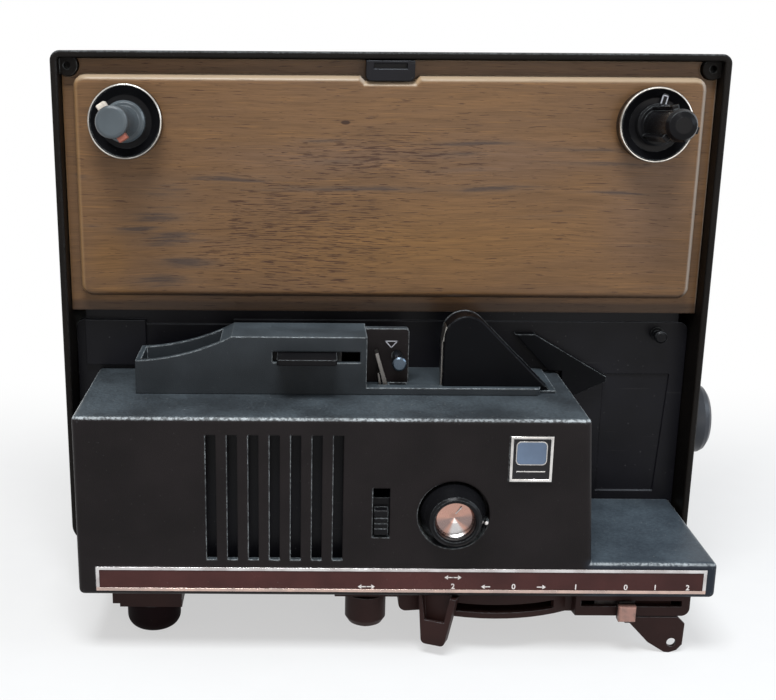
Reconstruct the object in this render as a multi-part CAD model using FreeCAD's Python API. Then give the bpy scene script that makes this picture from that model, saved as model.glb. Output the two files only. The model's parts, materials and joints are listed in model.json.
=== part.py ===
import FreeCAD, Part
import math
import os

# Movie projector for 8 mm film, in millimetres.
# While modelling, x = 0 is the middle of the case, y = 0 the front edge of the case rim
# and z = 0 the table. The operator stands at -Y and the picture leaves towards +X.
# Every piece is moved by ORIGIN at the end, which puts the middle of the footprint at 0, 0.

V = FreeCAD.Vector

# Rear case
CASE_W = 272.0
CASE_TOP = 237.0
CASE_BOTTOM = 26.0
CASE_DEPTH = 104.0
CASE_WALL = 2.8
CASE_TAPER = 2.2
CASE_R_TOP = 4.0
CASE_R_BOTTOM = 8.0
BOSS_R = 4.2

# Wood panel, set into the rim
WOOD_FACE_Y = 1.0
WOOD_EDGE_Y = 8.0
WOOD_T = 2.0
WOOD_BOTTOM = 130.0
WOOD_GAP = 0.3
FIELD_SIDE = 8.5
FIELD_BELOW_TOP = 9.3
FIELD_BOTTOM = 137.3
FIELD_R = 5.0
FIELD_ROUND = 3.0
NOTCH_W = 26.0
NOTCH_D = 2.0

# Reel spindles
SPINDLE_IN = 30.2
SPINDLE_BELOW_TOP = 27.7
SPINDLE_TILT = 4.0
SPINDLE_R = 6.1
SPINDLE_OUT = 36.5
COLLAR_R = 8.3
COLLAR_H = 2.5
DRUM_R = 14.65
DRUM_H = 7.4
DRUM_GAP = 1.4
DRUM_DISH = 2.6
DRUM_TRIM = 0.9
JOURNAL_R = 3.5
BUSH_R = 7.0
BUSH_FLANGE_R = 10.0
BUSH_FLANGE = 2.0
KEY_W = 3.6
RIB_W = 2.6
KEY_L = 5.5
KEY_OUT = 1.9
KEY_ANGLE = 123.0
SPINDLE_PULLEY_R = 14.0
RUN_GAP = 0.05

# Mechanism panel, behind the front housing
PANEL_Y = 15.0
PANEL_T = 2.5
PANEL_TOP = 124.4
PANEL_GAP = 0.3
PANEL_LIP = 14.0
PANEL_RISE = 9.0
RISE_T = 1.6
EAR_PROUD = 2.0
EAR_STEP = 2.1
EAR_STEP_W = 38.0

# Front housing with its shelf
FRONT_Y = -56.6
HOUSE_IN = 12.3
HOUSE_RIGHT_TOP = 77.2
HOUSE_RIGHT_BOTTOM = 81.2
HOUSE_TOP = 102.4
HOUSE_BOTTOM = 27.4
HOUSE_WALL = 2.4
HOUSE_ROUND = 2.2
SHELF_TOP = 42.7
SHELF_IN = 4.5

# Vent slots in the front
VENT_COUNT = 7
VENT_W = 4.0
VENT_PITCH = 8.3
VENT_FIRST_X = -70.0
VENT_BOTTOM = 43.2
VENT_TOP = 95.2

# Label strip and badge
STRIP_BOTTOM = 29.6
STRIP_TOP = 39.9
STRIP_IN_LEFT = 7.3
STRIP_IN_RIGHT = 4.2
STRIP_LINE = 1.3
STRIP_SEAT = 0.8
STRIP_PROUD = 0.5
BADGE_X = 54.5
BADGE_Z = 86.4
BADGE_W = 16.7
BADGE_H = 18.7
BADGE_LINE = 1.9
BADGE_PROUD = 1.1

# Heat shield behind the vents
SHIELD_GAP = 7.0
SHIELD_SIDE = 8.0
SHIELD_T = 1.0
SHIELD_OVER = 4.0

# Film deck on top of the front housing
DECK_FRONT = -25.0
DECK_IN = 21.3
DECK_BACK = 0.0
DECK_RIGHT = -8.4
DECK_TOP = 126.6
DECK_STEP = 6.0
REEL_BITE = 10.3
DECK_WALL = 2.2
TROUGH_RIGHT = -68.0
TROUGH_DEPTH = 9.0
RAIL_RIGHT = 62.8
RAIL_TOP = 105.5
RAIL_W = 5.0
FLOOR_T = 1.2
LOAD_W = 18.2
LOAD_Y = -9.3
LOAD_T = 3.9
SLOT_LEFT = -46.7
SLOT_BOTTOM = 115.9
SLOT_H = 4.6
TAB_W = 24.0
TAB_REST = 2.0
TAB_TRAVEL = 8.9
TAB_SPARE = 0.7
TAB_GAP = 0.35
TAB_OUT = 12.0
TAB_PLATE_T = 2.0
TAB_PLATE_H = 12.0
TAB_RIBS = 5

# Film guides
DOME_X = 32.2
DOME_Z = 125.6
DOME_R = 9.3
DOME_FRONT = -22.0
DOME_BACK = -9.7
WEDGE_X = 57.1
WEDGE_TOP = 119.8
WEDGE_LAND = 8.6
WEDGE_END_X = 97.6
WEDGE_END_Z = 101.1
WEDGE_PROUD = 5.0
POCKET_DEPTH = 0.8
POCKET_IN = 9.7
STUD_IN = 16.8
STUD_Z = 119.4
STUD_R = 2.6
STUD_L = 8.0
PIN_X = 4.9
PIN_Z = 115.2
PIN_R = 2.1
PIN_HEAD_R = 2.9
PIN_L = 15.0
PIN_HEAD_L = 5.5

# Light path: lamp, shutter, film gate and lens on one axis along X
OPTIC_Y = -12.0
OPTIC_Z = 78.5
FILM_X = 4.8
GATE_T = 1.2
GATE_FOOT = 4.4
GATE_W = 16.0
GATE_H = 34.0
FRAME_W = 5.8
FRAME_H = 4.2
LENS_R = 11.0
LENS_WINDOW = 27.0
LENS_L = 50.0
LENS_BACK = 16.0
LENS_TRAVEL = 5.0
LENS_WALL = 1.6
HOLDER_R = 14.0
HOLDER_L = 30.0
REFLECTOR_R = 21.0
REFLECTOR_L = 22.0
REFLECTOR_X = -26.0
BULB_R = 5.5
SOCKET_L = 16.0
SOCKET_R = 9.0

# Focus knob
FOCUS_X = 25.3
FOCUS_Z = 62.6
FOCUS_RECESS_R = 14.2
FOCUS_RECESS_D = 6.0
FOCUS_BASE_R = 13.2
FOCUS_TOP_R = 9.95
FOCUS_PROUD = 8.0
FOCUS_DISC_R = 7.75
FOCUS_DISC_DISH = 1.6
FOCUS_SHAFT_R = 2.5
FOCUS_CUP = 7.0
PINION_R = 4.5
NUB_R = 0.8

# Speed slide
SPEED_X = -3.2
SPEED_BOTTOM = 53.0
SPEED_W = 6.7
SPEED_KNOB_W = 5.4
SPEED_KNOB_H = 10.5
SPEED_DEPTH = 1.2
SPEED_REST = 1.4
SPEED_TRAVEL = 7.5
SPEED_SPARE = 1.3

# Main shaft with shutter, worm and inching knob
SHAFT_Y = 26.0
SHAFT_Z = 77.8
SHAFT_R = 3.0
SHAFT_LEFT = -44.0
SHUTTER_X = -17.0
SHUTTER_R = 40.5
SHUTTER_T = 1.0
INCH_R = 15.4
INCH_PROUD = 11.0
INCH_BASE_GAP = 0.6
PULLEY_W = 7.0
MAIN_PULLEY_R = 12.0
MAIN_PULLEY_X = -36.0
WORM_R = 4.2
WORM_L = 14.0
BEARING_W = 8.0
BEARING_XS = (-25.5, 92.0)

# Pulldown claw, moved by a cam on the main shaft
CLAW_X = 0.6
CLAW_T = 1.4
CLAW_STROKE = 4.2
CAM_R = 5.2
CAM_THROW = 1.05
GUIDE_GAP = 0.3

# Sprocket under the dome, turned by the worm
SPROCKET_X = 32.2
SPROCKET_Z = 113.8
SPROCKET_R = 6.2
SPROCKET_TEETH = 12
GEAR_TEETH = 36
GEAR_T = 6.0
GEAR_GAP = 0.3

# Motor with fan
MOTOR_Z = 70.0
MOTOR_BEHIND_SHAFT = 36.0
MOTOR_W = 64.0
COIL_SIDE = 26.0
MOTOR_STACK = 26.0
ROTOR_R = 15.0
ROTOR_GAP = 0.4
MOTOR_PULLEY_R = 5.0
FAN_R = 26.0
FAN_W = 16.0
FAN_BLADES = 16
FAN_IN = 18.0
FAN_TO_MOTOR = 36.0
BELT_T = 1.2
BELT_W = 5.0
REEL_BELT_W = 3.0
REEL_PULLEY_R = 9.6
BELT_GAP = 0.3
TRANSFORMER_IN = 51.0
CORE_W = 48.0
CORE_D = 36.0
CORE_H = 40.0
COIL_W = 30.0
COIL_D = 46.0
COIL_H = 26.0
COIL_GAP = 3.0

# Control pod under the housing
POD_FRONT = -50.0
POD_LEFT = 5.4
POD_IN = 7.5
POD_BACK = 17.0
POD_REAR_TOP = 25.8
POD_BOTTOM = 16.5
POD_WALL = 2.0
ARC_X = 44.0
ARC_R = 62.0
ARC_FRONT = -53.5
ARC_Z = 19.6
ARC_REACH = 29.0
ARC_STEPS = 12
POWER_X = 97.6
POWER_W = 6.9
POWER_Z = 18.0
POWER_OUT = 5.0
POWER_TRAVEL = 18.6
FRAME_X = -7.8
FRAME_Y = -40.0
FRAME_R = 8.4
FRAME_BOTTOM = 8.6
FRAME_SHAFT_R = 3.0
FRAME_KNOB_H = 13.8
FRAME_EDGE = 3.2
FRAME_SHAFT_L = 20.2
FRAME_COLLAR_Z = 23.4
LEVER_REST = -22.8
LEVER_SWING = 42.0
LEVER_T = 2.4
LEVER_ARM_W = 8.0
LEVER_BOTTOM = 5.0
LEVER_TOP = 26.6
LEVER_LIP_Z = 15.6
LEVER_DEPTH = 5.0
LEVER_GAP = 0.7
PIVOT_R = 2.5

# Feet and elevating leg
FOOT_R = 11.3
FOOT_H = 13.0
FOOT_BOSS_W = 26.0
FOOT_IN = 32.0
FOOT_IN_BACK = 18.0
FOOT_FRONT_X = -97.3
FOOT_FRONT_Y = -26.0
LEG_T = 1.6
LEG_Y = -50.0
LEG_TOP = 16.0
LEG_PIN_R = 1.5
LEG_PIN_Z = 13.6
LEG_LUG_XS = (99.0, 116.0)
LEG_LUG_W = 3.0
LEG_LUG_R = 2.2
LEG_LUG_BACK = 4.0
LEG_W = 25.0
LEG_HOLE_R = 1.9

# Top latch keeper and carrying handle
LATCH_W = 19.5
LATCH_H = 8.4
HANDLE_W = 132.0
HANDLE_D = 26.0
HANDLE_Y = 36.0
TRAY_DEPTH = 15.0
HANDLE_BAR = 11.0
HANDLE_ARM_W = 9.0
HANDLE_PIN_R = 2.2

# Grille and cord inlet in the back
GRILLE_ROWS = 9
GRILLE_PITCH = 6.0
GRILLE_SLOT = 2.6
GRILLE_Z = 48.0
GRILLE_W = 38.0
GRILLE_IN = 14.0
GRILLE_RIB = 6.0
INLET_Z = 44.0
INLET_IN = 62.0
INLET_W = 30.0
INLET_H = 20.0
INLET_DEPTH = 16.0

# Positions that follow from the sizes above
INNER_HALF = CASE_W / 2 - CASE_WALL
CASE_FLOOR = CASE_BOTTOM + CASE_WALL + CASE_TAPER
BACK_Y = CASE_DEPTH
CASE_HALF = CASE_W / 2
FIELD_TOP = CASE_TOP - FIELD_BELOW_TOP
SPINDLE_Z = CASE_TOP - SPINDLE_BELOW_TOP
STUD_X = CASE_HALF - STUD_IN
SLOT_RIGHT = SLOT_LEFT + TAB_REST + TAB_W + TAB_TRAVEL + TAB_SPARE
SPEED_TOP = SPEED_BOTTOM + SPEED_REST + SPEED_KNOB_H + SPEED_TRAVEL + SPEED_SPARE
SCOOP_R = SPINDLE_Z - DECK_TOP + REEL_BITE
HOUSE_LEFT = -CASE_HALF + HOUSE_IN
SHELF_RIGHT = CASE_HALF - SHELF_IN
STRIP_LEFT = HOUSE_LEFT + STRIP_IN_LEFT
STRIP_RIGHT = SHELF_RIGHT - STRIP_IN_RIGHT
DECK_LEFT = HOUSE_LEFT + DECK_IN
POCKET_RIGHT = CASE_HALF - POCKET_IN
POD_RIGHT = SHELF_RIGHT - POD_IN
FAN_X = -CASE_HALF + FAN_IN
MOTOR_X = FAN_X + FAN_TO_MOTOR
MOTOR_Y = SHAFT_Y + MOTOR_BEHIND_SHAFT
TRANSFORMER_X = CASE_HALF - TRANSFORMER_IN
TRANSFORMER_Y = BACK_Y - INLET_DEPTH - COIL_GAP - COIL_D / 2
FOOT_BACK_X = CASE_HALF - FOOT_IN
FOOT_BACK_Y = BACK_Y - FOOT_IN_BACK
INLET_X = CASE_HALF - INLET_IN
GRILLE_XS = (-CASE_HALF + GRILLE_IN, -CASE_HALF + GRILLE_IN + GRILLE_W + GRILLE_RIB)
HOUSE_BACK = PANEL_Y - PANEL_GAP
SPINDLE_XS = {"left": -CASE_HALF + SPINDLE_IN, "right": CASE_HALF - SPINDLE_IN}
SPINDLE_AXIS = (0.0, -math.cos(math.radians(SPINDLE_TILT)), math.sin(math.radians(SPINDLE_TILT)))
DRUM_START = DRUM_GAP
DRUM_END = DRUM_GAP + DRUM_H
SHAFT_END = DRUM_END + SPINDLE_OUT
GEAR_R = SPROCKET_Z - SHAFT_Z - WORM_R - GEAR_GAP
SPROCKET_FRONT = DOME_FRONT + 3.0
REEL_PULLEY_YS = {"left": SHAFT_Y + GEAR_T / 2 + PULLEY_W / 2 + 0.5,
                  "right": SHAFT_Y + GEAR_T / 2 + PULLEY_W * 1.5 + 1.0}
CLAW_TIP_Y = OPTIC_Y + 5.5
CAM_REACH = CAM_R + CAM_THROW
INCH_X = CASE_W / 2 + INCH_BASE_GAP - CASE_TAPER * (SHAFT_Y - INCH_R) / CASE_DEPTH
TRAY_BACK = HANDLE_Y + HANDLE_D
TRAY_Z = CASE_TOP - TRAY_DEPTH
HANDLE_PIN_Y = TRAY_BACK - HANDLE_BAR / 2 - 1.0
HANDLE_PIN_Z = TRAY_Z + HANDLE_BAR / 2 + 1.0
PIVOT_Y = ARC_FRONT + ARC_R
LEG_PIN_Y = LEG_Y + LEG_T + 2.6


def box(x0, x1, y0, y1, z0, z1):
    return Part.makeBox(x1 - x0, y1 - y0, z1 - z0, V(x0, y0, z0))


def rod(r, start, direction, length):
    return Part.makeCylinder(r, length, V(*start), V(*direction))


def tube(r_out, r_in, start, direction, length):
    return rod(r_out, start, direction, length).cut(rod(r_in, start, direction, length))


def wire_xz(y, path):
    # path: a start point, then ("line", x, z) or ("arc", xm, zm, x, z)
    edges = []
    x, z = path[0]
    for step in path[1:]:
        end = V(step[-2], y, step[-1])
        start = V(x, y, z)
        if step[0] == "line":
            edges.append(Part.LineSegment(start, end).toShape())
        else:
            edges.append(Part.Arc(start, V(step[1], y, step[2]), end).toShape())
        x, z = step[-2], step[-1]
    return Part.Wire(edges)


def prism_xz(path, y0, y1):
    return Part.Face(wire_xz(y0, path)).extrude(V(0, y1 - y0, 0))


def polygon_xz(points, y0, y1):
    path = [points[0]]
    for x, z in points[1:] + points[:1]:
        path.append(("line", x, z))
    return prism_xz(path, y0, y1)


def prism_xy(points, z0, z1):
    corners = [V(x, y, z0) for x, y in points]
    return Part.Face(Part.makePolygon(corners + corners[:1])).extrude(V(0, 0, z1 - z0))


def round_rect(x0, x1, z0, z1, y, r_top, r_bottom):
    k = 1 - math.sqrt(0.5)
    top, low = r_top, r_bottom
    return wire_xz(y, [
        (x0, z0 + low),
        ("line", x0, z1 - top),
        ("arc", x0 + top * k, z1 - top * k, x0 + top, z1),
        ("line", x1 - top, z1),
        ("arc", x1 - top * k, z1 - top * k, x1, z1 - top),
        ("line", x1, z0 + low),
        ("arc", x1 - low * k, z0 + low * k, x1 - low, z0),
        ("line", x0 + low, z0),
        ("arc", x0 + low * k, z0 + low * k, x0, z0 + low),
    ])


def fused(shapes):
    whole = shapes[0]
    if len(shapes) > 1:
        whole = whole.multiFuse(shapes[1:])
    return whole.removeSplitter()


def edges_where(shape, test):
    chosen = []
    for edge in shape.Edges:
        if test(edge):
            chosen.append(edge)
    return chosen


def runs_along(edge, axis):
    size = edge.BoundBox
    lengths = {"x": size.XLength, "y": size.YLength, "z": size.ZLength}
    along = lengths.pop(axis)
    return along > 1.0 and max(lengths.values()) < 0.01


def aimed(shape, start, axis):
    # the shape is built on the Z axis; this turns it onto the given axis
    along = V(*axis)
    up = V(0, 0, 1)
    if along.getAngle(up) > 0.001:
        shape.rotate(V(0, 0, 0), up.cross(along), math.degrees(up.getAngle(along)))
    shape.translate(V(*start))
    return shape


def revolve(profile, start, axis):
    # profile: (distance along the axis, radius) pairs of a closed half section
    flat = [V(r, 0, a) for a, r in profile]
    face = Part.Face(Part.makePolygon(flat + flat[:1]))
    return aimed(face.revolve(V(0, 0, 0), V(0, 0, 1), 360), start, axis)


def case_taper(y):
    return CASE_TAPER * y / CASE_DEPTH


def case_body(inset, y0, y1):
    wires = []
    for y in (y0, y1):
        gone = inset + case_taper(y)
        half = CASE_W / 2 - gone
        wires.append(round_rect(-half, half, CASE_BOTTOM + gone, CASE_TOP - gone, y,
                                max(CASE_R_TOP - inset, 1.0), max(CASE_R_BOTTOM - inset, 1.0)))
    return Part.makeLoft(wires, True, True)


# Case, wood panel and mechanism panel

def handle_tray(extra, top):
    return box(-HANDLE_W / 2 - extra, HANDLE_W / 2 + extra, HANDLE_Y - extra, TRAY_BACK + extra,
               TRAY_Z - extra, top)


def corner_boss(side):
    x = side * (INNER_HALF - BOSS_R + 1.0)
    z = CASE_TOP - CASE_WALL - BOSS_R + 1.0
    return rod(BOSS_R, (x, WOOD_EDGE_Y - 3.0, z), (0, 1, 0), 12.0)


def foot_boss(x, y, z_top):
    half = FOOT_BOSS_W / 2
    return box(x - half, x + half, y - FOOT_R, y + FOOT_R, FOOT_H, z_top)


def rear_case():
    shell = case_body(0.0, 0.0, BACK_Y).cut(case_body(CASE_WALL, -1.0, BACK_Y - CASE_WALL))
    rim = edges_where(shell, lambda e: e.BoundBox.YMax < 0.01)
    shell = shell.makeFillet(0.8, rim)
    inner = case_body(CASE_WALL * 0.5, 0.5, BACK_Y - CASE_WALL * 0.5)
    tray = handle_tray(CASE_WALL * 0.8, CASE_TOP).common(case_body(0.3, 0.5, BACK_Y - 0.5))
    bosses = [corner_boss(-1).common(inner), corner_boss(1).common(inner)]
    feet = [foot_boss(FOOT_BACK_X, FOOT_BACK_Y, CASE_FLOOR),
            foot_boss(-FOOT_BACK_X, FOOT_BACK_Y, CASE_FLOOR)]
    shell = fused([shell, tray] + bosses + feet)
    cuts = [handle_tray(0.0, CASE_TOP + 1.0)]
    for side in (-1, 1):
        x = side * (HANDLE_W / 2 - 1.0)
        cuts.append(rod(HANDLE_PIN_R + RUN_GAP, (x, HANDLE_PIN_Y, HANDLE_PIN_Z), (side, 0, 0), CASE_WALL + 3.0))
        boss_x = side * (INNER_HALF - BOSS_R + 1.0)
        boss_z = CASE_TOP - CASE_WALL - BOSS_R + 1.0
        cuts.append(rod(1.4, (boss_x, WOOD_EDGE_Y - 4.0, boss_z), (0, 1, 0), 5.0))
    cuts.append(rod(SHAFT_R + 0.4, (INNER_HALF - 4.0, SHAFT_Y, SHAFT_Z), (1, 0, 0), 12.0))
    for row in range(GRILLE_ROWS):
        z = GRILLE_Z + row * GRILLE_PITCH
        for x in GRILLE_XS:
            cuts.append(box(x, x + GRILLE_W, BACK_Y - CASE_WALL - 1, BACK_Y + 1, z, z + GRILLE_SLOT))
    cuts.append(box(INLET_X, INLET_X + INLET_W, BACK_Y - CASE_WALL - 1, BACK_Y + 1, INLET_Z, INLET_Z + INLET_H))
    return shell.cut(Part.makeCompound(cuts))


def notch(extra, z_low, y0, y1):
    half = NOTCH_W / 2 + extra
    slant = 3.0
    return polygon_xz([(-half, z_low + 12), (-half, z_low + slant), (-half + slant, z_low),
                       (half - slant, z_low), (half, z_low + slant), (half, z_low + 12)], y0, y1)


def spindle_point(side, out):
    x = SPINDLE_XS[side]
    return (x, WOOD_FACE_Y + out * SPINDLE_AXIS[1], SPINDLE_Z + out * SPINDLE_AXIS[2])


def wood_panel():
    half = INNER_HALF - WOOD_GAP - case_taper(WOOD_EDGE_Y)
    top = CASE_TOP - CASE_WALL - WOOD_GAP - case_taper(WOOD_EDGE_Y)
    border = box(-half, half, WOOD_EDGE_Y, WOOD_EDGE_Y + WOOD_T, WOOD_BOTTOM, top)
    field_half = CASE_W / 2 - FIELD_SIDE
    field = Part.Face(round_rect(-field_half, field_half, FIELD_BOTTOM, FIELD_TOP, WOOD_FACE_Y,
                                 FIELD_R, FIELD_R)).extrude(V(0, WOOD_EDGE_Y - WOOD_FACE_Y, 0))
    field = field.cut(notch(0.0, FIELD_TOP - NOTCH_D, WOOD_FACE_Y - 1, WOOD_EDGE_Y))
    front = edges_where(field, lambda e: e.BoundBox.YMax < WOOD_FACE_Y + 0.01)
    field = field.makeFillet(FIELD_ROUND, front)
    panel = fused([border, field])
    cuts = []
    for side in SPINDLE_XS:
        back = spindle_point(side, -20.0)
        cuts.append(rod(BUSH_R + 0.1, back, SPINDLE_AXIS, 30.0))
    for side in (-1, 1):
        x = side * (INNER_HALF - BOSS_R + 1.0)
        z = CASE_TOP - CASE_WALL - BOSS_R + 1.0
        cuts.append(rod(BOSS_R + WOOD_GAP, (x, WOOD_EDGE_Y - 4.0, z), (0, 1, 0), 20.0))
    return panel.cut(Part.makeCompound(cuts))


def latch_keeper():
    half = LATCH_W / 2
    top = CASE_TOP - CASE_WALL - WOOD_GAP - case_taper(WOOD_EDGE_Y)
    low = CASE_TOP - CASE_WALL - LATCH_H
    body = box(-half, half, 0.6, WOOD_EDGE_Y - 0.3, low, top)
    lower = edges_where(body, lambda e: runs_along(e, "y") and e.BoundBox.ZMax < low + 0.01)
    body = body.makeFillet(2.2, lower)
    mouth = box(-half + 3.0, half - 3.0, -1, 3.0, top - 3.2, top - 1.0)
    return body.cut(mouth)


def panel_outline(inset):
    left = -INNER_HALF + inset + case_taper(PANEL_Y)
    low = CASE_FLOOR + 0.5
    return left, -left, low


def mechanism_panel():
    left, right, low = panel_outline(PANEL_GAP)
    plate = box(left, right, PANEL_Y, PANEL_Y + PANEL_T, low, PANEL_TOP)
    corners = edges_where(plate, lambda e: runs_along(e, "y"))
    plate = plate.makeFillet(CASE_R_TOP, [e for e in corners if e.BoundBox.ZMin > low + 1])
    lower = [e for e in edges_where(plate, lambda e: runs_along(e, "y")) if e.BoundBox.ZMax < low + 1]
    plate = plate.makeFillet(CASE_R_BOTTOM, lower)
    lip = box(left + CASE_R_TOP, right - CASE_R_TOP, PANEL_Y, PANEL_Y + PANEL_LIP, PANEL_TOP - PANEL_T, PANEL_TOP)
    lip = lip.cut(box(SPROCKET_X - GEAR_R - 2, SPROCKET_X + GEAR_R + 2, SHAFT_Y - GEAR_T / 2 - 2, 99,
                      PANEL_TOP - 9, PANEL_TOP + 9))
    rise = box(left + CASE_R_TOP, right - CASE_R_TOP, PANEL_Y + PANEL_T - RISE_T, PANEL_Y + PANEL_T,
               PANEL_TOP - PANEL_T, PANEL_TOP + PANEL_RISE)
    ear = box(left + CASE_R_TOP, DECK_LEFT, PANEL_Y - EAR_PROUD, PANEL_Y + PANEL_T, HOUSE_TOP + EAR_PROUD, PANEL_TOP)
    panel = fused([plate, lip, rise, ear])
    cuts = [
        box(DECK_LEFT, DECK_LEFT + EAR_STEP_W, PANEL_Y - 1, PANEL_Y + PANEL_T - RISE_T, PANEL_TOP - EAR_STEP, PANEL_TOP + 1),
        box(SHUTTER_X - 2.0, SHUTTER_X + 2.0, PANEL_Y - 1, PANEL_Y + 4, SHAFT_Z - SHUTTER_R, SHAFT_Z + SHUTTER_R),
        box(CLAW_X - 1.5, CLAW_X + CLAW_T + 1.5, PANEL_Y - 1, PANEL_Y + 4, OPTIC_Z - 3, OPTIC_Z + 3 + CLAW_STROKE),
        box(MAIN_PULLEY_X - 5.0, MAIN_PULLEY_X + 5.0, PANEL_Y - 1, PANEL_Y + 4,
            SHAFT_Z - MAIN_PULLEY_R - 4.0, SHAFT_Z + MAIN_PULLEY_R + 4.0),
        rod(BUSH_R, (SPROCKET_X, PANEL_Y - 1, SPROCKET_Z), (0, 1, 0), 9.0),
        rod(STUD_R * 0.6, (STUD_X, PANEL_Y - 1, STUD_Z), (0, 1, 0), 9.0),
        rod(FOCUS_SHAFT_R + RUN_GAP, (FOCUS_X, PANEL_Y - 1, FOCUS_Z), (0, 1, 0), 9.0),
        polygon_xz([(WEDGE_END_X, SHELF_TOP + 4), (WEDGE_END_X, WEDGE_END_Z), (POCKET_RIGHT, WEDGE_END_Z),
                    (POCKET_RIGHT - 3.0, SHELF_TOP + 4)], PANEL_Y - 1, PANEL_Y + POCKET_DEPTH),
    ]
    return panel.cut(Part.makeCompound(cuts))


# Spindles

def spindle_part(side, profile):
    return revolve(profile, spindle_point(side, 0.0), SPINDLE_AXIS)


def spindle_pulley_out(side):
    return (REEL_PULLEY_YS[side] - WOOD_FACE_Y) / SPINDLE_AXIS[1]


def spindle_shaft(side):
    tip = 1.2 if side == "left" else 3.0
    r = SPINDLE_R
    back = spindle_pulley_out(side) - PULLEY_W / 2
    profile = [(back, 0), (back, JOURNAL_R), (DRUM_START, JOURNAL_R), (DRUM_END - DRUM_DISH, JOURNAL_R),
               (DRUM_END - DRUM_DISH, COLLAR_R), (DRUM_END + COLLAR_H - 0.8, COLLAR_R),
               (DRUM_END + COLLAR_H, COLLAR_R - 0.8), (DRUM_END + COLLAR_H, r),
               (SHAFT_END - tip, r), (SHAFT_END - tip * 0.3, r - tip * 0.3), (SHAFT_END, r - tip), (SHAFT_END, 0)]
    shaft = spindle_part(side, profile)
    if side == "left":
        return shaft
    ribs = []
    for turn in range(3):
        rib = box(-RIB_W / 2, RIB_W / 2, r - 1.0, r + 1.5, DRUM_END + COLLAR_H - 0.5, SHAFT_END - 6.0)
        ribs.append(on_spindle(side, rib, turn * 120.0 + 15.0))
    return fused([shaft] + ribs)


def on_spindle(side, shape, angle):
    # the shape is built with its axis along +Z and its radius along +Y
    shape = shape.copy()
    shape.rotate(V(0, 0, 0), V(0, 0, 1), angle)
    shape.rotate(V(0, 0, 0), V(1, 0, 0), 90.0 - SPINDLE_TILT)
    shape.translate(V(*spindle_point(side, 0.0)))
    return shape


def spindle_drum(side):
    inner = JOURNAL_R
    profile = [(DRUM_START, inner), (DRUM_START, DRUM_R - 0.6), (DRUM_START + 0.6, DRUM_R),
               (DRUM_END - 1.4, DRUM_R), (DRUM_END - 1.4, DRUM_R - DRUM_TRIM),
               (DRUM_END - 0.3, DRUM_R - DRUM_TRIM), (DRUM_END - DRUM_DISH, DRUM_R - DRUM_TRIM - 3.2),
               (DRUM_END - DRUM_DISH, inner)]
    return spindle_part(side, profile)


def drum_trim(side):
    profile = [(DRUM_END - 1.4, DRUM_R - DRUM_TRIM), (DRUM_END - 1.4, DRUM_R),
               (DRUM_END - 0.3, DRUM_R), (DRUM_END, DRUM_R - 0.3), (DRUM_END, DRUM_R - DRUM_TRIM)]
    return spindle_part(side, profile)


def spindle_keys():
    keys = []
    for angle in (KEY_ANGLE - 90.0, KEY_ANGLE + 90.0):
        key = box(-KEY_W / 2, KEY_W / 2, SPINDLE_R - 0.5, SPINDLE_R + KEY_OUT, SHAFT_END - KEY_L - 1.3, SHAFT_END - 1.3)
        keys.append(on_spindle("left", key.makeFillet(0.5, key.Edges), angle).cut(spindle_shaft("left")))
    return Part.makeCompound(keys)


def drum_rib():
    rib = box(-0.9, 0.9, COLLAR_R, DRUM_R - DRUM_TRIM - 1.5, DRUM_END - DRUM_DISH, DRUM_END - 0.6)
    return on_spindle("right", rib, -14.0)


def pulley(r, width, bore):
    lip = 1.4
    return [(-width / 2, bore), (-width / 2, r + lip), (-width / 2 + 0.8, r + lip), (-width / 2 + 0.8, r),
            (width / 2 - 0.8, r), (width / 2 - 0.8, r + lip), (width / 2, r + lip), (width / 2, bore)]


def spindle_pulley(side):
    out = spindle_pulley_out(side)
    profile = [(out + a, r) for a, r in pulley(SPINDLE_PULLEY_R, PULLEY_W, JOURNAL_R)]
    return spindle_part(side, profile)


def spindle_bush(side):
    r_in = JOURNAL_R + RUN_GAP
    back = -(WOOD_EDGE_Y + WOOD_T - WOOD_FACE_Y) - 0.8
    profile = [(back - BUSH_FLANGE, r_in), (back - BUSH_FLANGE, BUSH_FLANGE_R), (back, BUSH_FLANGE_R),
               (back, BUSH_R), (-0.2, BUSH_R), (-0.2, r_in)]
    return spindle_part(side, profile)


# Front housing and what is fixed to it

def house_profile(inset, top, low):
    right_low = HOUSE_RIGHT_BOTTOM - inset
    return [(HOUSE_LEFT + inset, low), (HOUSE_LEFT + inset, top - inset),
            (HOUSE_RIGHT_TOP - inset, top - inset), (right_low, SHELF_TOP - inset),
            (SHELF_RIGHT - inset, SHELF_TOP - inset), (SHELF_RIGHT - inset, low)]


def strip_seat(extra, y0, y1):
    return box(STRIP_LEFT - extra, STRIP_RIGHT + extra, y0, y1, STRIP_BOTTOM - extra, STRIP_TOP + extra)


def badge_box(inset, y0, y1):
    half_w = BADGE_W / 2 - inset
    half_h = BADGE_H / 2 - inset
    return box(BADGE_X - half_w, BADGE_X + half_w, y0, y1, BADGE_Z - half_h, BADGE_Z + half_h)


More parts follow.
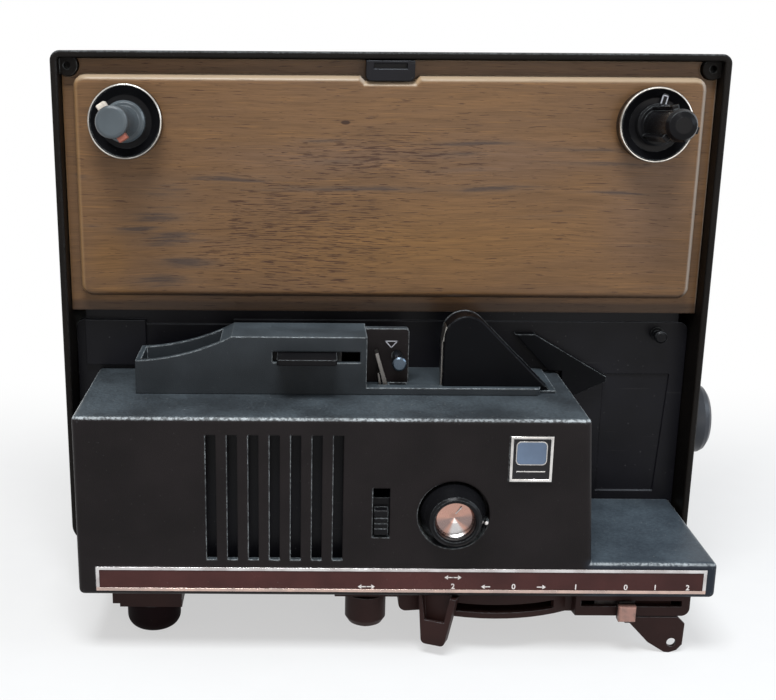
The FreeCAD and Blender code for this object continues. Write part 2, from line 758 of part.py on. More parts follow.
def front_housing():
    outer = polygon_xz(house_profile(0.0, HOUSE_TOP, HOUSE_BOTTOM), FRONT_Y, HOUSE_BACK)
    inside_corner = V(HOUSE_RIGHT_BOTTOM, 0, SHELF_TOP)

    def rounded(e):
        box_e = e.BoundBox
        if box_e.YMin > HOUSE_BACK - 0.1:
            return False
        if runs_along(e, "y"):
            return abs(box_e.XMin - inside_corner.x) > 0.5 or abs(box_e.ZMin - inside_corner.z) > 0.5
        return True
    outer = outer.makeFillet(HOUSE_ROUND, edges_where(outer, rounded))
    hollow = polygon_xz(house_profile(HOUSE_WALL, HOUSE_TOP, HOUSE_BOTTOM - 1), FRONT_Y + HOUSE_WALL, HOUSE_BACK + 1)
    shell = outer.cut(hollow)
    cup = rod(FOCUS_RECESS_R + HOUSE_WALL, (FOCUS_X, FRONT_Y + 0.5, FOCUS_Z), (0, 1, 0),
              FOCUS_RECESS_D + HOUSE_WALL - 0.5)
    shell = fused([shell, cup])
    cuts = [rod(FOCUS_RECESS_R, (FOCUS_X, FRONT_Y - 1, FOCUS_Z), (0, 1, 0), FOCUS_RECESS_D + 1),
            rod(FOCUS_SHAFT_R + RUN_GAP, (FOCUS_X, FRONT_Y, FOCUS_Z), (0, 1, 0), 20.0),
            strip_seat(0.0, FRONT_Y - 1, FRONT_Y + STRIP_SEAT),
            badge_box(0.0, FRONT_Y - 1, FRONT_Y + STRIP_SEAT),
            box(SPEED_X - SPEED_W / 2, SPEED_X + SPEED_W / 2, FRONT_Y - 1, FRONT_Y + HOUSE_WALL + 1,
                SPEED_BOTTOM, SPEED_TOP),
            box(HOUSE_RIGHT_TOP - 8, HOUSE_RIGHT_TOP + 12, OPTIC_Y - LENS_WINDOW / 2, OPTIC_Y + LENS_WINDOW / 2,
                OPTIC_Z - LENS_WINDOW / 2, OPTIC_Z + LENS_WINDOW / 2),
            box(DECK_LEFT + DECK_WALL, DECK_RIGHT - DECK_WALL, DECK_FRONT + DECK_WALL, HOUSE_BACK + 1,
                HOUSE_TOP - 5, HOUSE_TOP + 5),
            box(FILM_X - 3.0, FILM_X + 4.0, OPTIC_Y - 7, OPTIC_Y + 7, HOUSE_TOP - 5, HOUSE_TOP + 5)]
    for slot in range(VENT_COUNT):
        x = VENT_FIRST_X + slot * VENT_PITCH
        cuts.append(box(x - VENT_W / 2, x + VENT_W / 2, FRONT_Y - 1, FRONT_Y + HOUSE_WALL + 1, VENT_BOTTOM, VENT_TOP))
    beside = box(-CASE_W, CASE_W, -0.4, HOUSE_BACK + 1, 0, CASE_TOP)
    shell = shell.cut(beside.cut(case_body(CASE_WALL + PANEL_GAP, -1, HOUSE_BACK + 2)))
    nub = rod(NUB_R, (FOCUS_X + FOCUS_RECESS_R - 0.2, FRONT_Y + 0.3, FOCUS_Z - 3.3), (0, 1, 0), FOCUS_RECESS_D)
    return fused([shell.cut(Part.makeCompound(cuts)), nub])


def strip_trim():
    frame = strip_seat(0.0, FRONT_Y - STRIP_PROUD, FRONT_Y + STRIP_SEAT)
    return frame.cut(strip_seat(-STRIP_LINE, FRONT_Y - 2, FRONT_Y + 2))


def strip_field():
    return strip_seat(-STRIP_LINE, FRONT_Y - STRIP_PROUD * 0.4, FRONT_Y + STRIP_SEAT)


def badge_frame():
    return badge_box(0.0, FRONT_Y - BADGE_PROUD, FRONT_Y + STRIP_SEAT).cut(badge_box(BADGE_LINE, FRONT_Y - 3, FRONT_Y + 2))


def badge_field():
    return badge_box(BADGE_LINE, FRONT_Y - BADGE_PROUD * 0.4, FRONT_Y + STRIP_SEAT)


def heat_shield():
    y = FRONT_Y + HOUSE_WALL + SHIELD_GAP
    left = VENT_FIRST_X - SHIELD_SIDE
    right = VENT_FIRST_X + (VENT_COUNT - 1) * VENT_PITCH + SHIELD_SIDE
    bottom = VENT_BOTTOM - SHIELD_OVER
    top = VENT_TOP + SHIELD_OVER / 2
    plate = box(left, right, y, y + SHIELD_T, bottom, top)
    sides = [box(x, x + SHIELD_T, FRONT_Y + HOUSE_WALL + 0.2, y, bottom, top) for x in (left, right - SHIELD_T)]
    return fused([plate] + sides)


def base_plate():
    left = HOUSE_LEFT + HOUSE_WALL + 0.3
    right = SHELF_RIGHT - HOUSE_WALL - 0.3
    plate = box(left, right, FRONT_Y + HOUSE_WALL + 0.3, -0.4, HOUSE_BOTTOM, HOUSE_BOTTOM + 2.0)
    boss = foot_boss(FOOT_FRONT_X, FOOT_FRONT_Y, HOUSE_BOTTOM)
    step = box(FOOT_FRONT_X - FOOT_BOSS_W / 2 - 3.0, FOOT_FRONT_X, FOOT_FRONT_Y - FOOT_R, FOOT_FRONT_Y + FOOT_R,
               FOOT_H + 1.5, HOUSE_BOTTOM)
    collar = box(FRAME_X - 13.0, POD_LEFT, POD_FRONT + 2, FRAME_Y + 14.0, FRAME_COLLAR_Z, HOUSE_BOTTOM)
    plate = fused([plate, boss, step, collar])
    return plate.cut(rod(FRAME_SHAFT_R + RUN_GAP, (FRAME_X, FRAME_Y, 0), (0, 0, 1), 60.0))


def rubber_feet():
    feet = []
    for x, y in ((FOOT_FRONT_X, FOOT_FRONT_Y), (FOOT_BACK_X, FOOT_BACK_Y), (-FOOT_BACK_X, FOOT_BACK_Y)):
        foot = rod(FOOT_R, (x, y, 0), (0, 0, 1), FOOT_H)
        low = edges_where(foot, lambda e: e.BoundBox.ZMax < 0.1)
        feet.append(foot.makeFillet(5.5, low))
    return Part.makeCompound(feet)


# Film deck

def scoop_z(x, r):
    return SPINDLE_Z - math.sqrt(r * r - (x - SPINDLE_XS["left"]) ** 2)


def scoop_x(z, r):
    return SPINDLE_XS["left"] + math.sqrt(r * r - (SPINDLE_Z - z) ** 2)


def deck_prism(r, top, inset, low, y0, y1):
    x0 = DECK_LEFT + inset
    x1 = DECK_RIGHT - inset
    xs = scoop_x(top, r)
    xm = (x0 + xs) / 2
    return prism_xz([(x0, low), ("line", x0, scoop_z(x0, r)), ("arc", xm, scoop_z(xm, r), xs, top),
                     ("line", x1, top), ("line", x1, low), ("line", x0, low)], y0, y1)


def film_deck():
    wall = DECK_WALL
    front = deck_prism(SCOOP_R, DECK_TOP, 0.0, HOUSE_TOP, DECK_FRONT, DECK_BACK)
    rear = deck_prism(SCOOP_R + DECK_STEP, DECK_TOP - DECK_STEP, 0.0, HOUSE_TOP, DECK_BACK - 1, HOUSE_BACK)
    deck = fused([front, rear])
    low_r = SCOOP_R + TROUGH_DEPTH + wall
    low = deck_prism(low_r, DECK_TOP - TROUGH_DEPTH - wall, wall, HOUSE_TOP - 1, DECK_FRONT + wall, HOUSE_BACK + 1)
    mid = box(TROUGH_RIGHT + wall, DECK_RIGHT - wall, DECK_FRONT + wall, HOUSE_BACK + 1,
              HOUSE_TOP - 1, DECK_TOP - DECK_STEP - wall)
    high = box(TROUGH_RIGHT + wall, DECK_RIGHT - wall, DECK_FRONT + wall, DECK_BACK - wall,
               HOUSE_TOP - 1, DECK_TOP - wall)
    high = high.common(deck_prism(SCOOP_R + wall, DECK_TOP - wall, wall, HOUSE_TOP - 1, DECK_FRONT, DECK_BACK))
    trough = deck_prism(SCOOP_R - 4, DECK_TOP + 4, wall, HOUSE_TOP, DECK_FRONT + wall, DECK_BACK - wall)
    trough = trough.cut(deck_prism(SCOOP_R + TROUGH_DEPTH, DECK_TOP - TROUGH_DEPTH, wall * 0.5, HOUSE_TOP - 1,
                                   DECK_FRONT, DECK_BACK))
    trough = trough.common(box(DECK_LEFT, TROUGH_RIGHT, DECK_FRONT, DECK_BACK, HOUSE_TOP, DECK_TOP + 9))
    slot = box(SLOT_LEFT, SLOT_RIGHT, DECK_FRONT - 1, DECK_FRONT + wall + 1, SLOT_BOTTOM, SLOT_BOTTOM + SLOT_H)
    deck = deck.cut(Part.makeCompound([low, mid, high])).cut(trough).cut(slot)
    rail = box(DECK_RIGHT - 0.5, RAIL_RIGHT, DECK_FRONT, DECK_FRONT + RAIL_W, HOUSE_TOP, RAIL_TOP)
    rail = rail.makeFillet(2.2, edges_where(rail, lambda e: runs_along(e, "z") and e.BoundBox.XMin > RAIL_RIGHT - 1))
    floor = box(DECK_RIGHT - 0.5, RAIL_RIGHT + 7.0, DECK_FRONT + RAIL_W - 1, HOUSE_BACK, HOUSE_TOP, HOUSE_TOP + FLOOR_T)
    film_slot = box(FILM_X - 3.0, FILM_X + 4.0, OPTIC_Y - 7, LOAD_Y - 0.3, HOUSE_TOP - 5, HOUSE_TOP + 5)
    return fused([deck, rail, floor]).cut(film_slot)


def load_plate():
    plate = box(DECK_RIGHT + 0.2, DECK_RIGHT + LOAD_W, LOAD_Y, LOAD_Y + LOAD_T, HOUSE_TOP + FLOOR_T, DECK_TOP)
    corner = edges_where(plate, lambda e: runs_along(e, "y") and e.BoundBox.ZMin > DECK_TOP - 0.1)
    plate = plate.makeFillet(1.5, [e for e in corner if e.BoundBox.XMin > 0])
    return plate.cut(rod(PIN_R, (PIN_X, LOAD_Y - 1, PIN_Z), (0, 1, 0), 9.0))


def load_pin():
    tip = LOAD_Y - PIN_L
    head = [(0, 0), (0, PIN_HEAD_R - 0.6), (0.6, PIN_HEAD_R), (PIN_HEAD_L - 0.4, PIN_HEAD_R),
            (PIN_HEAD_L, PIN_R + 0.2), (PIN_HEAD_L + 0.8, PIN_R), (PIN_L + LOAD_T, PIN_R), (PIN_L + LOAD_T, 0)]
    return revolve(head, (PIN_X, tip, PIN_Z), (0, 1, 0))


def film_stripper():
    y = DECK_FRONT + RAIL_W + 1.5
    low = HOUSE_TOP + FLOOR_T
    blade = polygon_xz([(PIN_X - 9.6, PIN_Z + 2.8), (PIN_X - 8.4, PIN_Z + 3.4), (PIN_X - 3.8, low), (PIN_X - 5.6, low)],
                       y, y + 7.0)
    small = polygon_xz([(PIN_X - 8.4, PIN_Z - 5.5), (PIN_X - 7.7, PIN_Z - 5.5), (PIN_X - 6.6, low), (PIN_X - 7.6, low)],
                       y + 1.0, y + 6.0)
    return Part.makeCompound([blade, small])


def dome_path(grow, low):
    k = math.sqrt(0.5)
    r = DOME_R + grow
    x0 = DOME_X - r
    slope_x = DOME_X + r * k
    slope_z = DOME_Z + r * k
    return [(x0, low), ("line", x0, DOME_Z), ("arc", DOME_X - r * k, DOME_Z + r * k, DOME_X, DOME_Z + r),
            ("arc", DOME_X + r * math.sin(math.pi / 8), DOME_Z + r * math.cos(math.pi / 8), slope_x, slope_z),
            ("line", slope_x + slope_z - low, low), ("line", x0, low)]


def dome_guide():
    low = HOUSE_TOP + FLOOR_T
    body = prism_xz(dome_path(0.0, low), DOME_FRONT, DOME_BACK)
    room = rod(SPROCKET_R + 1.0, (SPROCKET_X, DOME_FRONT + 2.0, SPROCKET_Z), (0, 1, 0), 40.0)
    groove = prism_xz(dome_path(0.5, low - 1), DOME_BACK - 2.2, DOME_BACK - 1.0)
    groove = groove.cut(prism_xz(dome_path(-1.2, low - 2), DOME_BACK - 3, DOME_BACK))
    front = edges_where(body, lambda e: e.BoundBox.YMax < DOME_FRONT + 0.1 and e.BoundBox.ZMax > low + 1)
    body = body.makeFillet(0.7, front)
    rail = box(DECK_RIGHT, RAIL_RIGHT + 9, DECK_FRONT, DECK_FRONT + RAIL_W, HOUSE_TOP, RAIL_TOP)
    return body.cut(Part.makeCompound([room, groove, rail]))


def guide_leaf():
    low = HOUSE_TOP + FLOOR_T
    x = DOME_X - DOME_R
    leaf = box(x - 0.7, x - 0.1, DOME_FRONT + 2, DOME_FRONT + 7, low, DOME_Z - 1.0)
    lip = polygon_xz([(x - 0.7, DOME_Z - 1.0), (x - 0.1, DOME_Z - 1.0), (x + 1.0, DOME_Z + 5.0), (x + 0.4, DOME_Z + 5.2)],
                     DOME_FRONT - 1.0, DOME_FRONT + 7)
    return fused([leaf, lip]).cut(prism_xz(dome_path(0.1, low - 1), DOME_FRONT - 2, DOME_BACK))


def wedge_guide():
    y = PANEL_Y - WEDGE_PROUD
    low = HOUSE_TOP + FLOOR_T
    points = [(WEDGE_X, WEDGE_TOP), (WEDGE_X + WEDGE_LAND, WEDGE_TOP), (WEDGE_END_X, WEDGE_END_Z),
              (WEDGE_END_X, WEDGE_END_Z - 2.0), (HOUSE_RIGHT_TOP + 6.0, WEDGE_END_Z - 9.0),
              (HOUSE_RIGHT_TOP + 1.0, WEDGE_END_Z - 9.0), (HOUSE_RIGHT_TOP + 1.0, low),
              (WEDGE_X + (WEDGE_TOP - low) * 0.95, low)]
    return polygon_xz(points, y, PANEL_Y)


def lid_stud():
    profile = [(0, 0), (0, STUD_R * 0.75), (0.5, STUD_R), (2.4, STUD_R), (3.4, STUD_R * 0.62),
               (STUD_L - 1.2, STUD_R * 0.62), (STUD_L - 1.2, STUD_R * 1.15), (STUD_L, STUD_R * 1.15),
               (STUD_L, STUD_R * 0.58), (STUD_L + PANEL_T, STUD_R * 0.58), (STUD_L + PANEL_T, 0)]
    return revolve(profile, (STUD_X, PANEL_Y - STUD_L, STUD_Z), (0, 1, 0))


# Controls on the front

def load_slider():
    gap = TAB_GAP
    left = SLOT_LEFT + TAB_REST
    top = SLOT_BOTTOM + SLOT_H - gap
    low = SLOT_BOTTOM + gap
    mid = (top + low) / 2
    inner = DECK_FRONT + DECK_WALL
    tab = box(left, left + TAB_W, DECK_FRONT - TAB_OUT, inner + gap + 0.5, mid - 0.4, top)
    tip = edges_where(tab, lambda e: runs_along(e, "z") and e.BoundBox.YMax < DECK_FRONT - 1)
    tab = tab.makeFillet(1.2, tip)
    ribs = []
    for i in range(TAB_RIBS):
        y = DECK_FRONT - TAB_OUT + 1.6 + i * 2.0
        ribs.append(box(left + 1.5, left + TAB_W - 1.5, y, y + 0.8, top - 1.0, top - 0.6))
    tab = tab.cut(Part.makeCompound(ribs))
    neck = box(left + 1.0, left + TAB_W - 1.0, DECK_FRONT - 0.5, inner + gap + 0.5, low, mid)
    plate = box(left - 7.0, left + TAB_W + 0.8, inner + gap, inner + gap + TAB_PLATE_T,
                mid - TAB_PLATE_H / 2, mid + TAB_PLATE_H / 2 - 2.0)
    return fused([tab, neck, plate])


def speed_slide():
    z = SPEED_BOTTOM + SPEED_REST
    half = SPEED_KNOB_W / 2
    inner = FRONT_Y + HOUSE_WALL + 0.3
    knob = box(SPEED_X - half, SPEED_X + half, FRONT_Y - SPEED_DEPTH, inner + 0.5, z, z + SPEED_KNOB_H)
    knob = knob.makeFillet(0.6, edges_where(knob, lambda e: runs_along(e, "x") and e.BoundBox.YMax < FRONT_Y))
    grooves = [box(SPEED_X - 9, SPEED_X + 9, FRONT_Y - 9, FRONT_Y - SPEED_DEPTH + 0.5, z + dz, z + dz + 0.8)
               for dz in (2.8, 5.0, 7.2)]
    plate = box(SPEED_X - half - 3, SPEED_X + half + 3, inner, inner + 1.4, z - 8, z + SPEED_KNOB_H + 4)
    return fused([knob.cut(Part.makeCompound(grooves)), plate])


def focus_knob():
    start = FRONT_Y + FOCUS_RECESS_D - 0.6
    depth = start - FRONT_Y + FOCUS_PROUD
    lip = FOCUS_TOP_R - FOCUS_DISC_R
    profile = [(0, FOCUS_SHAFT_R), (0, FOCUS_BASE_R), (3.0, FOCUS_BASE_R), (depth - 0.8, FOCUS_TOP_R + 0.3),
               (depth, FOCUS_TOP_R - 0.6), (depth, FOCUS_DISC_R + lip * 0.25), (depth - 1.0, FOCUS_DISC_R),
               (depth - FOCUS_CUP, FOCUS_DISC_R), (depth - FOCUS_CUP, FOCUS_SHAFT_R)]
    return revolve(profile, (FOCUS_X, start, FOCUS_Z), (0, -1, 0))


def focus_disc():
    seat = (FOCUS_X, FRONT_Y - FOCUS_PROUD + FOCUS_CUP, FOCUS_Z)
    r = FOCUS_DISC_R
    profile = [(0, 0), (1.6, 0), (2.8 - 0.8, r * 0.9), (2.8, r - 0.05), (1.2, r - 0.05), (0, r - 0.05)]
    dish = revolve([(2.8, 0), (2.8, r - 0.9), (2.8 - FOCUS_DISC_DISH, 0)], seat, (0, -1, 0))
    return revolve(profile, seat, (0, -1, 0)).cut(dish)


def focus_shaft():
    start = FRONT_Y - FOCUS_PROUD + FOCUS_CUP
    end = PANEL_Y + PANEL_T
    shaft = rod(FOCUS_SHAFT_R, (FOCUS_X, start, FOCUS_Z), (0, 1, 0), end - start)
    pinion = rod(PINION_R, (FOCUS_X, OPTIC_Y - 7.0, FOCUS_Z), (0, 1, 0), 14.0)
    notches = []
    for i in range(12):
        turn = math.radians(i * 30.0)
        x = FOCUS_X + PINION_R * math.cos(turn)
        z = FOCUS_Z + PINION_R * math.sin(turn)
        notches.append(rod(0.6, (x, OPTIC_Y - 8.0, z), (0, 1, 0), 16.0))
    return fused([shaft, pinion.cut(Part.makeCompound(notches))])


# Light path

def lens_barrel():
    barrel = tube(LENS_R, LENS_R - LENS_WALL, (LENS_BACK, OPTIC_Y, OPTIC_Z), (1, 0, 0), LENS_L)
    rim = tube(LENS_R - LENS_WALL + 0.01, LENS_R - LENS_WALL - 1.2, (LENS_BACK + LENS_L - 6.5, OPTIC_Y, OPTIC_Z),
               (1, 0, 0), 1.5)
    back = tube(LENS_R - LENS_WALL + 0.01, LENS_R - LENS_WALL - 1.2, (LENS_BACK + 5.0, OPTIC_Y, OPTIC_Z), (1, 0, 0), 1.5)
    return fused([barrel, rim, back])


def lens_element(x, thick, bulge):
    r = LENS_R - LENS_WALL
    disc = rod(r, (x, OPTIC_Y, OPTIC_Z), (1, 0, 0), thick)
    ball_r = (r * r + bulge * bulge) / (2 * bulge)
    ball = Part.makeSphere(ball_r, V(x + thick - ball_r, OPTIC_Y, OPTIC_Z))
    return disc.common(ball)


def lens_elements():
    front = lens_element(LENS_BACK + LENS_L - 5.0, 4.0, 2.0)
    back = lens_element(LENS_BACK + 1.5, 3.5, 1.5)
    return Part.makeCompound([front, back])


def lens_holder():
    x = FOCUS_X + PINION_R + 2.0
    ring = rod(HOLDER_R, (x, OPTIC_Y, OPTIC_Z), (1, 0, 0), HOLDER_L)
    arm = box(x, x + HOLDER_L, OPTIC_Y, PANEL_Y, OPTIC_Z - 6.0, OPTIC_Z + 6.0)
    flange = box(x - 4.0, x + HOLDER_L + 4.0, PANEL_Y - 2.5, PANEL_Y, OPTIC_Z - 12.0, OPTIC_Z + 12.0)
    bore = rod(LENS_R + RUN_GAP, (x - 9, OPTIC_Y, OPTIC_Z), (1, 0, 0), HOLDER_L + 18.0)
    return fused([ring, arm, flange]).cut(bore)


def aperture_plate():
    x = FILM_X - 0.2 - GATE_T
    plate = box(x, x + GATE_T, OPTIC_Y - GATE_W / 2, PANEL_Y, OPTIC_Z - GATE_H / 2, OPTIC_Z + GATE_H / 2)
    foot = box(x, x + GATE_FOOT, PANEL_Y - 1.2, PANEL_Y, OPTIC_Z - GATE_H / 2, OPTIC_Z + GATE_H / 2)
    window = box(x - 1, x + 9, OPTIC_Y - FRAME_H / 2, OPTIC_Y + FRAME_H / 2, OPTIC_Z - FRAME_W / 2, OPTIC_Z + FRAME_W / 2)
    room = box(x - 9, x + 9, CLAW_TIP_Y - 1.5, CLAW_TIP_Y + 1.5, OPTIC_Z - 8, OPTIC_Z + 8)
    return fused([plate, foot]).cut(Part.makeCompound([window, room]))


def pressure_plate():
    x = FILM_X + 0.25
    plate = box(x, x + GATE_T, OPTIC_Y - GATE_W / 2 + 2, OPTIC_Y + GATE_W / 2 - 2, OPTIC_Z - 13, OPTIC_Z + 13)
    window = box(x - 1, x + 9, OPTIC_Y - 4, OPTIC_Y + 4, OPTIC_Z - 4.5, OPTIC_Z + 4.5)
    pins = [rod(1.2, (x + GATE_T - 0.2, OPTIC_Y, OPTIC_Z + dz), (1, 0, 0), 6.0) for dz in (-9.5, 9.5)]
    return fused([plate.cut(window)] + pins)


def gate_bracket():
    x = FILM_X + 0.25 + GATE_T + 2.2
    plate = box(x, x + 1.6, OPTIC_Y - GATE_W / 2, PANEL_Y, OPTIC_Z - 13, OPTIC_Z + 13)
    foot = box(x, x + 7.0, PANEL_Y - 1.6, PANEL_Y, OPTIC_Z - 13, OPTIC_Z + 13)
    holes = [rod(1.2 + RUN_GAP, (x - 1, OPTIC_Y, OPTIC_Z + dz), (1, 0, 0), 4.0) for dz in (-9.5, 9.5)]
    holes.append(box(x - 1, x + 3, OPTIC_Y - 5, OPTIC_Y + 5, OPTIC_Z - 6, OPTIC_Z + 6))
    return fused([plate, foot]).cut(Part.makeCompound(holes))


def pulldown_claw():
    half = CAM_REACH + GUIDE_GAP
    low = SHAFT_Z - half - CLAW_STROKE
    high = SHAFT_Z + half
    rim = 1.8
    arm = box(CLAW_X, CLAW_X + CLAW_T, CLAW_TIP_Y - 1.0, SHAFT_Y - half, OPTIC_Z - 2.0, OPTIC_Z + 2.0)
    tip = box(CLAW_X, FILM_X - 0.5, CLAW_TIP_Y - 0.6, CLAW_TIP_Y + 0.6, OPTIC_Z + 0.6, OPTIC_Z + 1.6)
    yoke = box(CLAW_X, CLAW_X + CLAW_T, SHAFT_Y - half - rim, SHAFT_Y + half + rim, low - rim, high + rim)
    room = box(CLAW_X - 1, CLAW_X + 9, SHAFT_Y - half, SHAFT_Y + half, low, high)
    return fused([arm, tip, yoke.cut(room)])


def claw_guide():
    x = CLAW_X - GUIDE_GAP
    low = OPTIC_Z - 2.0 - GUIDE_GAP
    high = OPTIC_Z + 2.0 + CLAW_STROKE + GUIDE_GAP
    block = box(x - 4.0, CLAW_X + CLAW_T + GUIDE_GAP + 0.8, PANEL_Y - 4.0, PANEL_Y, low - 5.0, high + 5.0)
    slot = box(x, CLAW_X + CLAW_T + GUIDE_GAP, PANEL_Y - 9, PANEL_Y + 9, low, high)
    return block.cut(slot)


def reflector():
    profile = [(0, 6.0), (3.0, 11.5), (8.0, 16.5), (15.0, 19.6), (REFLECTOR_L, REFLECTOR_R),
               (REFLECTOR_L, REFLECTOR_R - 1.6), (15.0, 18.0), (8.6, 15.0), (4.2, 10.4), (1.8, 6.0)]
    return revolve(profile, (REFLECTOR_X - REFLECTOR_L, OPTIC_Y, OPTIC_Z), (1, 0, 0))


def lamp_bulb():
    x = REFLECTOR_X - REFLECTOR_L
    base = BULB_R + 0.4
    profile = [(-5.0, 0), (-5.0, base), (2.0, base), (2.4, BULB_R), (12.0, BULB_R), (15.0, BULB_R * 0.7), (16.5, 0)]
    return revolve(profile, (x, OPTIC_Y, OPTIC_Z), (1, 0, 0))


def lamp_socket():
    x = REFLECTOR_X - REFLECTOR_L
    body = rod(SOCKET_R, (x - SOCKET_L, OPTIC_Y, OPTIC_Z), (1, 0, 0), SOCKET_L)
    body = body.cut(rod(BULB_R + 0.45, (x - 5.2, OPTIC_Y, OPTIC_Z), (1, 0, 0), 9.0))
    bracket = box(x - SOCKET_L, x - SOCKET_L + 2.0, OPTIC_Y, PANEL_Y, OPTIC_Z - 10.0, OPTIC_Z + 10.0)
    foot = box(x - SOCKET_L - 8.0, x - SOCKET_L + 2.0, PANEL_Y - 2.0, PANEL_Y, OPTIC_Z - 10.0, OPTIC_Z + 10.0)
    return fused([body, bracket, foot])


# Main shaft

def shaft_point(x):
    return (x, SHAFT_Y, SHAFT_Z)


def main_shaft():
    end = INCH_X + INCH_PROUD * 0.6
    shaft = rod(SHAFT_R, shaft_point(SHAFT_LEFT), (1, 0, 0), end - SHAFT_LEFT)
    worm = rod(WORM_R, shaft_point(SPROCKET_X - WORM_L / 2), (1, 0, 0), WORM_L)
    grooves = []
    for i in range(5):
        x = SPROCKET_X - WORM_L / 2 + 1.6 + i * 2.5
        grooves.append(tube(WORM_R + 1, WORM_R - 0.7, shaft_point(x), (1, 0, 0), 1.0))
    cam = rod(CAM_R, (CLAW_X - 0.2, SHAFT_Y, SHAFT_Z + CAM_THROW), (1, 0, 0), CLAW_T + 0.4)
    return fused([shaft, worm.cut(Part.makeCompound(grooves)), cam])


def inching_knob():
    w = INCH_PROUD
    profile = [(0, SHAFT_R), (0, INCH_R - 1.2), (1.0, INCH_R), (w * 0.62, INCH_R), (w * 0.8, INCH_R - 1.0),
               (w * 0.93, INCH_R - 3.0), (w, INCH_R - 6.0), (w - 0.8, INCH_R - 8.5), (w - 0.8, 0), (w * 0.6, 0),
               (w * 0.6, SHAFT_R)]
    return revolve(profile, shaft_point(INCH_X), (1, 0, 0))


def shutter():
    disc = rod(SHUTTER_R, shaft_point(SHUTTER_X - SHUTTER_T / 2), (1, 0, 0), SHUTTER_T)
    hub = rod(7.0, shaft_point(SHUTTER_X - 3.0), (1, 0, 0), 6.0)
    opening = []
    for turn in (30.0, 210.0):
        sector = Part.makeCylinder(SHUTTER_R + 2, 4.0, V(SHUTTER_X - 2, SHAFT_Y, SHAFT_Z), V(1, 0, 0), 70)
        sector.rotate(V(SHUTTER_X, SHAFT_Y, SHAFT_Z), V(1, 0, 0), turn)
        core = rod(12.0, shaft_point(SHUTTER_X - 3.0), (1, 0, 0), 6.0)
        opening.append(sector.cut(core))
    return fused([disc.cut(Part.makeCompound(opening)), hub]).cut(rod(SHAFT_R, shaft_point(SHUTTER_X - 5), (1, 0, 0), 10.0))


def main_pulley():
    return revolve(pulley(MAIN_PULLEY_R, PULLEY_W, SHAFT_R), shaft_point(MAIN_PULLEY_X), (1, 0, 0))


def shaft_bearings():
    blocks = []
    for x in BEARING_XS:
        y0 = PANEL_Y + PANEL_T
        block = box(x - BEARING_W / 2, x + BEARING_W / 2, y0, SHAFT_Y + 6.0, SHAFT_Z - 7.0, SHAFT_Z + 7.0)
        flange = box(x - BEARING_W / 2, x + BEARING_W / 2, y0, y0 + 2.0, SHAFT_Z - 14.0, SHAFT_Z + 14.0)
        bore = rod(SHAFT_R + RUN_GAP, shaft_point(x - BEARING_W), (1, 0, 0), BEARING_W * 2)
        blocks.append(fused([block, flange]).cut(bore))
    return Part.makeCompound(blocks)


# Sprocket

def gear_teeth(r, count, depth, start, axis, width):
    notches = []
    for i in range(count):
        turn = math.radians((i + 0.5) * 360.0 / count)
        half = math.pi * r / count * 0.28
        gap = box(r - depth, r + depth, -half, half, -1, width + 1)
        gap.rotate(V(0, 0, 0), V(0, 0, 1), math.degrees(turn))
        notches.append(gap)
    return aimed(Part.makeCylinder(r, width).cut(Part.makeCompound(notches)), start, axis)


def sprocket():
    start = (SPROCKET_X, SPROCKET_FRONT, SPROCKET_Z)
    drum = gear_teeth(SPROCKET_R, SPROCKET_TEETH, 0.9, start, (0, 1, 0), 6.0)
    end = SHAFT_Y + GEAR_T / 2 + PULLEY_W * 2 + 4.0
    shaft = rod(SHAFT_R, (SPROCKET_X, SPROCKET_FRONT + 1, SPROCKET_Z), (0, 1, 0), end - SPROCKET_FRONT - 1)
    return fused([drum, shaft])


def sprocket_gear():
    start = (SPROCKET_X, SHAFT_Y - GEAR_T / 2, SPROCKET_Z)
    gear = gear_teeth(GEAR_R, GEAR_TEETH, 2.2, start, (0, 1, 0), GEAR_T)
    windows = []
    for i in range(5):
        turn = math.radians(i * 72.0)
        windows.append(rod(6.0, (SPROCKET_X + 18.0 * math.cos(turn), SHAFT_Y - 9, SPROCKET_Z + 18.0 * math.sin(turn)),
                           (0, 1, 0), 20.0))
    bore = rod(SHAFT_R, (SPROCKET_X, SHAFT_Y - 9, SPROCKET_Z), (0, 1, 0), 20.0)
    return gear.cut(Part.makeCompound(windows + [bore]))


def reel_pulleys():
    out = []
    for y in REEL_PULLEY_YS.values():
        out.append(revolve(pulley(REEL_PULLEY_R, PULLEY_W, SHAFT_R), (SPROCKET_X, y, SPROCKET_Z), (0, 1, 0)))
    return Part.makeCompound(out)


def sprocket_bush():
    y = DOME_BACK + 0.4
    length = PANEL_Y + PANEL_T + 3.0 - y
    bush = tube(BUSH_R - 0.1, SHAFT_R + RUN_GAP, (SPROCKET_X, y, SPROCKET_Z), (0, 1, 0), length)
    flange = tube(BUSH_R + 1.0, SHAFT_R + RUN_GAP, (SPROCKET_X, PANEL_Y + PANEL_T, SPROCKET_Z), (0, 1, 0), 1.6)
    return fused([bush, flange])


# Motor, fan and belts

def motor_point(x):
    return (x, MOTOR_Y, MOTOR_Z)


def motor_stack():
    half = MOTOR_W / 2
    stack = box(MOTOR_X - MOTOR_STACK / 2, MOTOR_X + MOTOR_STACK / 2, MOTOR_Y - half, MOTOR_Y + half * 0.8,
                MOTOR_Z - half, MOTOR_Z + half)
    windows = []
    for side in (-1, 1):
        z0 = MOTOR_Z + side * 14.0
        z1 = MOTOR_Z + side * 24.0
        windows.append(box(MOTOR_X - MOTOR_W, MOTOR_X + MOTOR_W, MOTOR_Y - half + 9, MOTOR_Y - half + COIL_SIDE,
                           min(z0, z1), max(z0, z1)))
    bore = rod(ROTOR_R + ROTOR_GAP, motor_point(MOTOR_X - MOTOR_W), (1, 0, 0), 2 * MOTOR_W)
    return stack.cut(Part.makeCompound(windows + [bore]))


